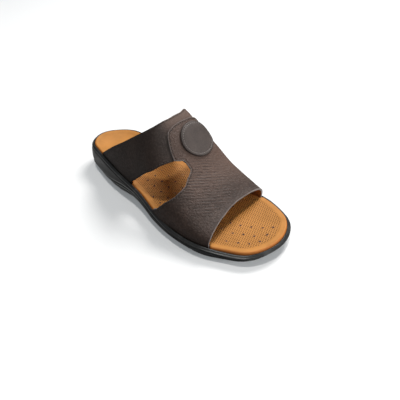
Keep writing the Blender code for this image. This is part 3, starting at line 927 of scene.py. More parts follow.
@dataclass(frozen=True)
class UpperLeather:
    """Oiled dark leather with a pebble grain, soft ripples and a sewn channel beside its edges, with painted
    light on its top and painted shade in its ripples' troughs.
    """

    name: str
    colour: Colour
    roughness: float = 0.47
    grain: float = 0.00050
    ripple: float = 0.00013
    ripple_spacing: float = 0.0029
    line_at: float = 1.7
    line: float = 0.62
    line_width: float = 0.55
    line_depth: float = 0.0007
    pebble: float = 0.44
    rim: float = 0.42
    rim_colour: Colour = (0.17, 0.155, 0.150, 1.0)
    gloss: float = 0.30
    tones: tuple[float, float] = (0.80, 1.22)
    pore_tone: float = 0.40
    # Strength and shade of the painted light on the top of the upper
    painted_light: float = 0.45
    painted_light_tone: float = 3.2
    # Strength and shade of the painted shade in the ripples' troughs
    trough: float = 0.60
    trough_shade_tone: float = 0.34
    line_tone: float = 0.30
    line_dullness: float = 0.2

    def material(self, effects: Effects) -> Material:
        """Build the material.

        Args:
            effects: Shared effects.

        Returns:
            The material.
        """
        tree = Coat(self.name, effects, 430.0, 55.0)
        height = tree.grain["Height"]
        sizes = {"Vector": tree.place, "Direction": ACROSS_RIPPLES, "Spacing": self.ripple_spacing}
        ripples = effects.ripples.place(tree, sizes)["Height"]
        ripples = tree.math("MULTIPLY", ripples, tree.attribute("ripple"))
        sizes = {"Distance": tree.attribute("edge"), "Line At": self.line_at, "Line Width": self.line_width}
        channel = effects.channel.place(tree, sizes)
        line = tree.math("MULTIPLY", channel["Line"], tree.attribute("sewn"))
        tone = tree.toned(self.colour, *self.tones)
        pores = tree.ramp(height, 0.0, 0.34, self.pebble, 0.0)
        tone = tree.mix(pores, tone, shade(self.colour, self.pore_tone))
        # Painted light: a lighter shade laid where the light falls on the top.
        tone = tree.lay(tone, tree.attribute("painted_light"), self.painted_light, shade(self.colour, self.painted_light_tone))
        # Painted shade: the ripples' troughs are darkened.
        troughs = tree.ramp(ripples, -0.9, 0.3, self.trough, 0.0)
        tone = tree.mix(troughs, tone, shade(self.colour, self.trough_shade_tone))
        tone = tree.lay(tone, line, self.line, shade(self.colour, self.line_tone))
        tone = tree.lay(tone, channel["Rim"], self.rim, self.rim_colour)
        rough = tree.ramp(height, -0.2, 0.6, self.roughness + 0.08, self.roughness - 0.05)
        rough = tree.math("ADD", rough, tree.math("MULTIPLY", line, self.line_dullness))
        heights = (
            (height, self.grain),
            (ripples, self.ripple),
            (tree.math("SUBTRACT", 1.0, line), self.line_depth * self.line),
        )
        return tree.finish(tone, rough, heights, self.gloss)


@dataclass(frozen=True)
class LiningLeather:
    """Bare tan leather of the linings."""

    name: str = "tan_lining"
    colour: Colour = (0.50, 0.215, 0.060, 1.0)
    tones: tuple[float, float] = (0.78, 1.15)
    roughness: tuple[float, float] = (0.58, 0.72)
    grain: float = 0.00010

    def material(self, effects: Effects) -> Material:
        """Build the material.

        Args:
            effects: Shared effects.

        Returns:
            The material.
        """
        tree = Coat(self.name, effects, 520.0, 40.0)
        height = tree.grain["Height"]
        keen, dull = self.roughness
        rough = tree.ramp(height, -0.2, 0.6, dull, keen)
        return tree.finish(tree.toned(self.colour, *self.tones), rough, ((height, self.grain),))


@dataclass(frozen=True)
class BedLeather:
    """Tan footbed leather with a smooth border, embossed dots darkened with painted shade, and a sheen that
    changes in patches.
    """

    name: str = "tan_footbed"
    colour: Colour = (0.44, 0.190, 0.044, 1.0)
    side_colour: Colour = (0.34, 0.095, 0.016, 1.0)
    border: float = 6.2
    dot_pitch: float = 0.0025
    dot_size: float = 0.42
    dot_turn: float = -22.0
    plain_heel: tuple[float, float] = (0.034, 0.046)
    tones: tuple[float, float] = (0.83, 1.06)
    # Strength and shade of the painted shade in the embossed dots
    dot: float = 0.92
    dot_shade_tone: float = 0.30
    dot_depth: float = 0.00030
    line: float = 0.15
    line_tone: float = 0.55
    line_depth: float = 0.00012
    side: float = 0.75
    grain: float = 0.00008
    gloss: float = 0.2

    def material(self, effects: Effects) -> Material:
        """Build the material.

        Args:
            effects: Shared effects.

        Returns:
            The material.
        """
        tree = Coat(self.name, effects, 480.0, 32.0)
        edge = tree.attribute("edge")
        turn = {"Vector": tree.place, "Rotation": (0.0, 0.0, math.radians(self.dot_turn))}
        turned = tree.add("ShaderNodeMapping", turn).outputs[0]
        sizes = {"Vector": turned, "Pitch": self.dot_pitch, "Size": self.dot_size}
        dots = effects.dots.place(tree, sizes)["Dot"]
        dots = tree.math("MULTIPLY", dots, tree.ramp(edge, self.border, self.border + 1.2))
        along = tree.add("ShaderNodeSeparateXYZ", {0: tree.place}).outputs[1]
        dots = tree.math("MULTIPLY", dots, tree.ramp(along, *self.plain_heel, 1.0, 0.0))
        sizes = {"Distance": edge, "Line At": self.border, "Line Width": 0.9, "Rim": 0.2}
        line = effects.channel.place(tree, sizes)["Line"]
        tone = tree.toned(self.colour, *self.tones, 0.28, 0.72)
        # Painted shade: each embossed dot is darkened.
        tone = tree.lay(tone, dots, self.dot, shade(self.colour, self.dot_shade_tone))
        tone = tree.lay(tone, line, self.line, shade(self.colour, self.line_tone))
        side = tree.ramp(edge, -0.2, 2.4, 1.0, 0.0)
        tone = tree.lay(tone, side, self.side, self.side_colour)
        heights = (
            (tree.grain["Height"], self.grain),
            (tree.math("SUBTRACT", 1.0, dots), self.dot_depth),
            (tree.math("SUBTRACT", 1.0, line), self.line_depth),
        )
        rough = tree.ramp(tree.grain["Tone"], 0.3, 0.7, 0.68, 0.58)
        return tree.finish(tone, rough, heights, self.gloss)


@dataclass(frozen=True)
class Rubber:
    """Moulded black rubber with a satin skin and painted highlights on the crests of its relief."""

    name: str
    colour: Colour = (0.015, 0.015, 0.0145, 1.0)
    roughness: float = 0.36
    grain: float = 0.00005
    # Strength and colour of the painted highlight on the crests of the relief
    crest_highlight: float = 0.85
    crest_highlight_colour: Colour = (0.28, 0.28, 0.27, 1.0)
    tones: tuple[float, float] = (0.85, 1.5)

    def material(self, effects: Effects) -> Material:
        """Build the material.

        Args:
            effects: Shared effects.

        Returns:
            The material.
        """
        tree = Coat(self.name, effects, 900.0, 70.0)
        dust = tree.ramp(tree.grain["Tone"], 0.35, 0.75)
        tone = tree.mix(dust, *(shade(self.colour, tone) for tone in self.tones))
        # Painted highlight: light grey laid on the crests of the relief.
        crest_highlights = tree.ramp(tree.attribute("crest"), 0.25, 1.0, 0.0, self.crest_highlight)
        tone = tree.mix(crest_highlights, tone, self.crest_highlight_colour)
        rough = tree.ramp(dust, 0.0, 1.0, self.roughness - 0.05, self.roughness + 0.10)
        return tree.finish(tone, rough, ((tree.grain["Height"], self.grain),))


@dataclass(frozen=True)
class Plain:
    """A thin part such as thread, a cut edge or the painted shadow in a hole, with a fine fibre in its tone.
    """

    name: str
    colour: Colour
    roughness: float
    fibre: float = 1600.0
    tones: tuple[float, float] = (0.75, 1.25)
    grain: float = 0.00004

    def material(self, effects: Effects) -> Material:
        """Build the material.

        Args:
            effects: Shared effects.

        Returns:
            The material.
        """
        tree = Coat(self.name, effects, self.fibre, 120.0)
        height = tree.grain["Height"]
        dull, keen = min(1.0, self.roughness + 0.08), self.roughness - 0.04
        rough = tree.ramp(height, -0.2, 0.6, dull, keen)
        return tree.finish(tree.toned(self.colour, *self.tones), rough, ((height, self.grain),))


def seen_by_camera(tree: Tree, output: str, seen: Input, rest: Input) -> None:
    """Show one shader to the camera and give another to the light that bounces.

    Args:
        tree: Tree of the material or the surroundings.
        output: Name of its output node.
        seen: Shader that the camera sees.
        rest: Shader for every other ray.
    """
    straight = tree.add("ShaderNodeLightPath").outputs["Is Camera Ray"]
    mixed = tree.add("ShaderNodeMixShader", {0: straight, 1: rest, 2: seen}).outputs[0]
    tree.feed(tree.tree.nodes[output].inputs["Surface"], mixed)


@dataclass(frozen=True)
class FloorPaint:
    """Even matt white of the studio floor, lit a little from below as a product table is."""

    name: str = "studio_floor"
    colour: Colour = (0.60, 0.60, 0.60, 1.0)
    glow: float = 0.20
    glow_colour: Colour = (0.93, 0.975, 1.0, 1.0)
    bounce: Colour = (0.30, 0.30, 0.30, 1.0)
    tones: tuple[float, float] = (0.992, 1.008)
    roughness: float = 0.95
    gloss: float = 0.1

    def material(self, effects: Effects) -> Material:
        """Build the material.

        Args:
            effects: Shared effects.

        Returns:
            The material.
        """
        tree = Coat(self.name, effects, 300.0, 3.0)
        tone = tree.toned(self.colour, *self.tones, 0.2, 0.8)
        material = tree.finish(tone, self.roughness, (), self.gloss)
        tree.shader.inputs["Emission Color"].default_value = self.glow_colour
        tree.shader.inputs["Emission Strength"].default_value = self.glow
        dull = tree.add("ShaderNodeBsdfDiffuse", {"Color": self.bounce}).outputs[0]
        seen_by_camera(tree, "Material Output", tree.shader.outputs[0], dull)
        return material


class Finishes:
    """Every finish of the sandal as a material."""

    def __init__(self) -> None:
        """Build the materials."""
        effects = Effects()
        self.vamp = UpperLeather("dark_oiled_leather", (0.047, 0.028, 0.021, 1.0), 0.54).material(effects)
        self.strap = UpperLeather(
            "dark_nubuck_strap", (0.033, 0.021, 0.0165, 1.0), 0.60, 0.00026, 0.0, pebble=0.30, rim=0.0
        ).material(effects)
        self.patch = UpperLeather(
            "patch_leather", (0.050, 0.037, 0.032, 1.0), 0.50, 0.00012, 0.0,
            line_at=2.6, line=0.22, pebble=0.16, rim=0.0, gloss=0.4,
        ).material(effects)
        self.lining = LiningLeather().material(effects)
        self.bed = BedLeather().material(effects)
        self.sole = Rubber("satin_sole_rubber").material(effects)
        self.tread = Rubber("matt_tread_rubber", (0.018, 0.018, 0.018, 1.0), 0.62, 0.00009).material(effects)
        self.cut_edge = Plain("cut_edge", (0.250, 0.240, 0.238, 1.0), 0.60).material(effects)
        self.dark_edge = Plain("dark_cut_edge", (0.035, 0.025, 0.021, 1.0), 0.60).material(effects)
        self.thread = Plain("dark_thread", (0.030, 0.022, 0.019, 1.0), 0.55).material(effects)
        self.patch_thread = Plain("patch_thread", (0.150, 0.130, 0.120, 1.0), 0.50).material(effects)
        self.hole = Plain("hole_shadow", (0.010, 0.004, 0.002, 1.0), 0.85).material(effects)
        self.lip = Plain("punched_lip", (0.34, 0.14, 0.036, 1.0), 0.55).material(effects)
        self.floor = FloorPaint().material(effects)


class Repeats(Enum):
    """The small shapes that Geometry Nodes set on points."""

    STITCH = "sewn_stitches"
    HOLE = "punched_holes"
    LIP = "punched_lips"


class Setter:
    """A Geometry Nodes tree that sets one small shape on every point, turned to its surface."""

    def __init__(self, shape: Repeats) -> None:
        """Build the tree.

        Args:
            shape: Shape to set.
        """
        self.shape = shape
        self.tree = bpy.data.node_groups.new(shape.value, "GeometryNodeTree")
        face = self.tree.interface
        face.new_socket("Points", in_out="INPUT", socket_type="NodeSocketGeometry")
        for name in ("Length", "Width", "Height"):
            face.new_socket(name, in_out="INPUT", socket_type="NodeSocketFloat").default_value = 0.001
        face.new_socket("Seed", in_out="INPUT", socket_type="NodeSocketInt").default_value = 7
        face.new_socket("Material", in_out="INPUT", socket_type="NodeSocketMaterial")
        face.new_socket("Geometry", in_out="OUTPUT", socket_type="NodeSocketGeometry")
        tree = Tree(self.tree)
        given = tree.add("NodeGroupInput").outputs
        result = tree.add("NodeGroupOutput").inputs
        sizes = {0: given["Length"], 1: given["Width"], 2: given["Height"]}
        scale = tree.add("ShaderNodeCombineXYZ", sizes).outputs[0]
        unit = {"Geometry": self._unit(tree), "Scale": scale}
        small = tree.add("GeometryNodeTransform", unit).outputs[0]
        smooth = tree.add("GeometryNodeSetShadeSmooth", {"Geometry": small}).outputs[0]
        run = self._named(tree, "run")
        facing = self._named(tree, "facing")
        inputs = {"Primary Axis": facing, "Secondary Axis": run}
        axes = {"primary_axis": "Z", "secondary_axis": "X"}
        turn = tree.add("FunctionNodeAxesToRotation", inputs, **axes).outputs[0]
        vary = tree.add("FunctionNodeRandomValue", data_type="FLOAT")
        for socket, value in zip([item for item in vary.inputs if item.enabled][:2], (0.92, 1.06)):
            socket.default_value = value
        tree.feed(vary.inputs["Seed"], given["Seed"])
        amount = [item for item in vary.outputs if item.enabled][0]
        inputs = {"Points": given["Points"], "Instance": smooth, "Rotation": turn, "Scale": amount}
        placed = tree.add("GeometryNodeInstanceOnPoints", inputs).outputs[0]
        real = tree.add("GeometryNodeRealizeInstances", {"Geometry": placed}).outputs[0]
        dressed = {"Geometry": real, "Material": given["Material"]}
        tree.feed(result["Geometry"], tree.add("GeometryNodeSetMaterial", dressed).outputs[0])

    @staticmethod
    def _named(tree: Tree, name: str) -> Socket:
        """A vector attribute of the points."""
        node = tree.add("GeometryNodeInputNamedAttribute", data_type="FLOAT_VECTOR")
        node.inputs["Name"].default_value = name
        return [item for item in node.outputs if item.enabled][0]

    def _unit(self, tree: Tree) -> Socket:
        """The shape at unit size: a bead for a stitch, a disc of painted shadow for a hole, a ring for its
        lip.
        """
        if self.shape is Repeats.STITCH:
            inputs = {"Segments": 8, "Rings": 6, "Radius": 0.5}
            bead = tree.add("GeometryNodeMeshUVSphere", inputs).outputs["Mesh"]
            turned = {"Geometry": bead, "Rotation": (0.0, math.radians(90.0), 0.0)}
            return tree.add("GeometryNodeTransform", turned).outputs[0]
        if self.shape is Repeats.HOLE:
            size = {"Vertices": 14, "Radius": 0.5}
            return tree.add("GeometryNodeMeshCircle", size, fill_type="TRIANGLE_FAN").outputs[0]
        ring = tree.add("GeometryNodeCurvePrimitiveCircle", {"Resolution": 14, "Radius": 0.5}).outputs[0]
        tube = tree.add("GeometryNodeCurvePrimitiveCircle", {"Resolution": 6, "Radius": 0.13}).outputs[0]
        return tree.add("GeometryNodeCurveToMesh", {"Curve": ring, "Profile Curve": tube}).outputs[0]

    def set_on(
        self,
        name: str,
        points: Array,
        run: Array,
        facing: Array,
        size: tuple[float, float, float],
        material: Material,
    ) -> Piece:
        """Set the shape on points and bake it.

        Args:
            name: Name of the piece.
            points: Places.
            run: Direction of each shape's length.
            facing: Outward direction of each.
            size: Length, width and height in metres.
            material: Its material.

        Returns:
            The piece as a plain mesh.
        """
        mesh = bpy.data.meshes.new(name)
        mesh.from_pydata(points.tolist(), [], [])
        store(mesh, "run", run)
        store(mesh, "facing", facing)
        piece = show(name, mesh, ())
        modifier = piece.modifiers.new(self.tree.name, "NODES")
        modifier.node_group = self.tree
        values = dict(zip(("Length", "Width", "Height"), size), Seed=7, Material=material)
        for item in self.tree.interface.items_tree:
            if item.item_type == "SOCKET" and item.in_out == "INPUT" and item.name in values:
                modifier[item.identifier] = values[item.name]
        return settle(piece)


# Sub-assemblies


@dataclass
class MouldedSole:
    """The moulded sole: a bulging side wall with a lip and flowing ridges, a rim and a recess."""

    last: Last
    finishes: Finishes
    around: int = 720
    up: int = 72
    rim_drop: float = 0.0010
    toe_rim_drop: float = 0.0016
    lip: float = 0.00065
    lip_width: float = 0.00055
    lip_at: float = 0.0019
    ridge: float = 0.00105
    ridge_width: float = 0.0009
    rim_steps: tuple[tuple[float, float], ...] = ((0.0011, -0.00005), (0.0004, 0.0003), (0.0003, 0.0009))
    recess_spread: float = 0.0003

    def build(self) -> Piece:
        """Returns:
            The sole.
        """
        outline, outward = self._even_outline()
        inner = outward[:, 0] > 0
        heights = np.linspace(0, 1, self.up + 1)
        rings = [
            self._ring(outline, outward, inner, share_up, share_out)
            for share_up, share_out in zip(heights, smooth_column(WALL, 1, heights))
        ]
        shares = self.last.share(outline[:, 1])
        rim = self._rim(shares, inner)
        levels = [(spread, rim - drop) for spread, drop in self.rim_steps]
        levels.append((self.recess_spread, self._recess(shares, inner)))
        for spread, height in levels:
            rings.append(np.column_stack([outline + outward * spread, height, np.zeros(self.around)]))
        values = np.concatenate(rings)
        points = self.last.home(values[:, :3])
        mesh = make_mesh("moulded_sole", points, self._faces(len(rings)), {"crest": values[:, 3]})
        piece = show("moulded_sole", mesh, [self.finishes.sole])
        register(piece, "midsole")
        return piece

    def _even_outline(self) -> tuple[Array, Array]:
        """The outline and its normals at even steps from the heel's tip."""
        start = int(self.last.outline[:, 1].argmax())
        outline = np.roll(self.last.outline, -start, axis=0)
        outward = np.roll(self.last.outward, -start, axis=0)
        closed, turned = (np.vstack([ring, ring[:1]]) for ring in (outline, outward))
        length = run_length(closed)
        even = np.linspace(0, length[-1], self.around + 1)[:-1]
        normal = read_line(even, length, turned)
        return read_line(even, length, closed), normal / np.linalg.norm(normal, axis=1)[:, None]

    def _rise(self, shares: Array, inner: Array) -> Array:
        """Rise of the edge beside the arch, on the inner side only."""
        return np.where(inner, self.last.inner_rise(shares, 1.0), 0.0)

    def _rim(self, shares: Array, inner: Array) -> Array:
        """Height of the rim."""
        drop = self.rim_drop + self.toe_rim_drop * ease(shares, 0.80, 0.92)
        return self.last.edge_height(shares) - drop + self._rise(shares, inner)

    def _recess(self, shares: Array, inner: Array) -> Array:
        """Height of the recess floor."""
        height = self.last.edge_height(shares) - self.last.bed_thickness(shares)
        return height + self._rise(shares, inner)

    def _ring(self, outline: Array, outward: Array, inner: Array, share_up: float, share_out: float) -> Array:
        """Lay one ring of the side wall.

        Args:
            outline: Even outline.
            outward: Its normals.
            inner: Which samples are on the inner side.
            share_up: Height share of the ring.
            share_out: Its spread as a share of the bulge.

        Returns:
            The ring's points, and in the last column how strongly the painted highlight on the relief's
            crests lies on each one.
        """
        shares = self.last.share(outline[:, 1])
        bulge = self.last.sizes.side_bulge * self.last.flare(shares)
        sizes = self.last.sizes
        low = self.last.tread_lift(shares) + sizes.tread + sizes.gap
        high = self._rim(shares, inner)
        height = low + share_up * (high - low)
        relief = self._moulding(shares, share_up, high - low)
        plan = outline + outward * (share_out * bulge + relief)[:, None]
        # How much painted highlight lies on each point: on the crests of the relief, fainter towards the toe.
        crest = np.clip(relief / self.ridge, 0, 1) * (1 - 0.8 * ease(shares, 0.60, 0.74))
        return np.column_stack([plan, height, crest])

    def _moulding(self, shares: Array, share_up: float, wall: Array) -> Array:
        """Relief of the side wall: the lip, the line under it and the flowing ridges.

        Args:
            shares: Plan shares of the ring.
            share_up: Height share of the ring.
            wall: Height of the wall at each share.

        Returns:
            How far each point stands out.
        """
        below = (1 - share_up) * wall
        relief = self.lip * bump(below, self.lip_at, self.lip_width)
        relief -= 0.7 * self.lip * bump(below, self.lip_at + 0.0016, 0.0007)
        for index in range(3):
            at = smooth_column(RIDGES, 1 + index, shares)
            strength = smooth_column(RIDGES, 4 + index, shares)
            off = (share_up - at) * wall
            relief += self.ridge * strength * bump(off, 0.0, self.ridge_width)
            relief -= 0.8 * self.ridge * strength * bump(off, -1.7 * self.ridge_width, self.ridge_width)
        return relief * ease(share_up, 0.0, 0.06)

    def _faces(self, rings: int) -> Faces:
        """Quads between the rings, with strips across the underside and the recess."""
        count = self.around
        faces = ring_faces(rings, count)
        for first in (0, (rings - 1) * count):
            for index in range(count // 2):
                left = first + index, first + index + 1
                right = first + (count - index - 1) % count, first + (count - index) % count
                faces.append(tuple(dict.fromkeys((left[0], left[1], right[0], right[1]))))
        return [face for face in faces if len(face) > 2]


@dataclass
class Footbed:
    """The padded footbed with its rolled border, embossed field and rows of small holes."""

    last: Last
    finishes: Finishes
    roll: float = 0.0020
    heel_cup: float = 0.0045
    arch_pad: float = 0.0036
    relief_margin: float = 0.0004
    relief_ramp: float = 0.0010
    border: float = 0.0062
    border_step: float = 0.00025
    rows: int = 260
    columns: int = 84
    hole: float = 0.0026
    hole_shares: tuple[float, float] = (0.30, 0.775)
    hole_side_margin: float = 0.0095
    hole_edge_margin: float = 0.0088
    # Lift of each disc of painted hole shadow above the top
    hole_shadow_lift: float = 0.00012
    hole_lip_lift: float = 0.00004
    across_pace: float = 22.0
    hole_first: tuple[float, float] = (-0.0080, -0.1140)
    hole_step: tuple[float, float] = (-0.0010, -0.0118)
    hole_row: tuple[float, float] = (-0.0117, -0.0004)
    zones: tuple[tuple[tuple[float, float], ...], ...] = field(init=False)

    def __post_init__(self) -> None:
        """Find where the edge steps in to let the straps pass."""
        margin = self.relief_margin / self.last.sizes.footbed_length
        self.zones = tuple(
            ((row[1] - margin, row[2] + margin), (window[1][2] - margin, row[4] + margin))
            for row, window in ((EDGES[0], OUTER_WINDOW), (EDGES[-1], INNER_WINDOW))
        )

    def _inset(self, shares: Array, inner: Array) -> Array:
        """How far the edge steps in at each share, for the inner or the outer side."""
        ramp = self.relief_ramp / self.last.sizes.footbed_length
        depth = np.zeros_like(shares)
        for zones, here in zip(self.zones, (~inner, inner)):
            for start, end in zones:
                inside = np.minimum(shares - start + ramp, end + ramp - shares) / ramp
                depth = np.maximum(depth, np.where(here, ease(inside, 0, 1), 0.0))
        return (self.last.sizes.leather + 2 * self.last.sizes.gap) * depth

    def _shares(self) -> Array:
        """Rows from heel to toe, close together at both tips."""
        even = crowded(self.rows)
        return 0.5 * even + 0.5 * (1 - np.cos(math.pi * even)) / 2

    def _top(self, plan: Array, across: Array) -> Array:
        """Heights of the top with its cupped heel, arch pad and border.

        Args:
            plan: Plan points.
            across: Place of each point across its row, from -1 to 1.

        Returns:
            Heights.
        """
        along = self.last.share(plan[..., 1])
        height = self.last.edge_height(along) + self.last.inner_rise(along, across)
        ends = np.clip(np.minimum(along, 1 - along) / 0.08, 0, 1)
        hollow = (1 - np.abs(across) ** 3) * np.sqrt(ends)
        pad = np.sin(math.pi * np.clip(across, 0, 1) ** 1.2).clip(0) ** 1.6
        height = height - self.heel_cup * smooth_column(BED, 1, along) * hollow
        return height + self.arch_pad * smooth_column(BED, 2, along) * pad

    def build(self) -> list[Piece]:
        """Returns:
            The pieces.
        """
        shares = self._shares()
        inset = self._inset(self.last.share(self.last.outline[:, 1]), self.last.outward[:, 0] > 0)
        top = self.last.plan_grid(shares, -inset - self.roll, self.columns)
        line = crowded(self.columns)
        across = np.broadcast_to(line + np.linspace(0, 1, self.columns + 1) - 1, top.shape[:2])
        flat = with_height(top, 0.0).reshape(-1, 3)
        edge = distance_to(flat, with_height(self.last.outline, 0.0)).reshape(top.shape[:2])
        step = self.border_step * ease(edge, self.border, self.border + 0.0012)
        points = [with_height(top, self._top(top, across) - step).reshape(-1, 3)]
        edges = [1000 * edge.ravel()]
        rows, columns = top.shape[:2]
        border_across = self.ring(across)
        first, count = rows * columns, len(border_across)
        levels = self._levels()
        for spread, drop, depth in levels:
            plan = self.ring(self.last.plan_grid(shares, -inset - spread, self.columns))
            along = self.last.share(plan[:, 1])
            high = self.last.edge_height(along) + self.last.inner_rise(along, border_across)
            thick = self.last.bed_thickness(along) - self.last.sizes.gap
            points.append(with_height(plan, high - drop - depth * thick))
            edges.append(np.full(count, 1000 * spread - 1.2 * (drop > 0.0012)))
        faces = grid_faces(rows, columns) + ring_faces(len(levels), count, first)
        last_ring = first + (len(levels) - 1) * count
        base = self.ring(np.arange(rows * columns).reshape(rows, columns, 1)).ravel()
        lookup = {int(old): last_ring + new for new, old in enumerate(base)}
        for left in range(0, (rows - 1) * columns, columns):
            right = left + columns - 1
            corner = (lookup[left], lookup[right], lookup[right + columns], lookup[left + columns])
            faces.append(corner)
        points = self.last.home(np.concatenate(points))
        mesh = make_mesh("footbed_pad", points, faces, {"edge": np.concatenate(edges)})
        pad = show("footbed_pad", mesh, [self.finishes.bed])
        register(pad, "footbed")
        return [pad] + self._holes()

    @staticmethod
    def ring(grid: Array) -> Array:
        """The border of a grid, in order."""
        return np.concatenate([grid[0], grid[1:, -1], grid[-1, ::-1][1:], grid[-2:0:-1, 0]])

    def _levels(self) -> list[tuple[float, float, float]]:
        """Inset, drop and share of the thickness of each ring from the top's edge down."""
        levels = []
        for turn in np.linspace(0, math.pi / 2, 8):
            levels.append((self.roll * (1 - math.sin(turn)), self.roll * (1 - math.cos(turn)), 0.0))
        levels.append((0.0, self.roll, 0.45))
        levels.append((0.0006, 0.0, 1.0))
        return levels

    def _hole_places(self) -> Array:
        """Find the holes: the toe's rows, and the waist's lattice as far as it keeps off the edge.

        Returns:
            Place across and along of each hole, and its place across its row, from -1 to 1.
        """
        inner, outer = self.last.side_edges(0.0)
        first, step, row = (np.array(pair) for pair in (self.hole_first, self.hole_step, self.hole_row))
        places = [np.array(place) for place in TOE_HOLES]
        for steps in range(-4, 9):
            for rows in range(-5, 6):
                place = first + steps * step + rows * row
                low = self.last.across(outer, place[1]) + self.hole_side_margin
                high = self.last.across(inner, place[1]) - self.hole_side_margin
                start, end = self.hole_shares
                if start < self.last.share(place[1]) < end and low < place[0] < high:
                    places.append(place)
        places = np.array(places)
        away = distance_to(with_height(places, 0.0), with_height(self.last.outline, 0.0))
        places = places[away > self.hole_edge_margin]
        high = self.last.across(inner, places[:, 1])
        low = self.last.across(outer, places[:, 1])
        return with_height(places, (2 * places[:, 0] - low - high) / (high - low))

    def _holes(self) -> list[Piece]:
        """Mark the small holes: a dark disc of painted shadow and a raised lip at each."""
        places = self._hole_places()

        def height(x_step: float, y_step: float) -> Array:
            """Height of the top a step away from each hole."""
            moved = places[:, :2] + (x_step, y_step)
            return self._top(moved, places[:, 2] + x_step * self.across_pace) - self.border_step

        step = 0.001
        slope_x = (height(step, 0) - height(-step, 0)) / (2 * step)
        slope_y = (height(0, step) - height(0, -step)) / (2 * step)
        facing = np.stack([-slope_x, -slope_y, np.ones_like(slope_x)], axis=1)
        facing /= np.linalg.norm(facing, axis=1)[:, None]
        points = self.last.home(with_height(places[:, :2], height(0, 0)))
        run = np.cross(np.array([0.0, 1.0, 0.0]), facing)
        pieces = []
        # The first shape is a disc of painted shadow for each hole.
        for shape, name, lift, finish in (
            (Repeats.HOLE, "footbed_hole_shadows", self.hole_shadow_lift, self.finishes.hole),
            (Repeats.LIP, "footbed_hole_lips", self.hole_lip_lift, self.finishes.lip),
        ):
            size = (self.hole,) * 3
            pieces.append(Setter(shape).set_on(name, points + facing * lift, run, facing, size, finish))
            register(pieces[-1], "footbed")
        return pieces


@dataclass(frozen=True)
class Seam:
    """A sewn line on the leather: its edge in over and along shares, and the side it is offset to."""

    over: Array
    along: Array
    flip: bool = False


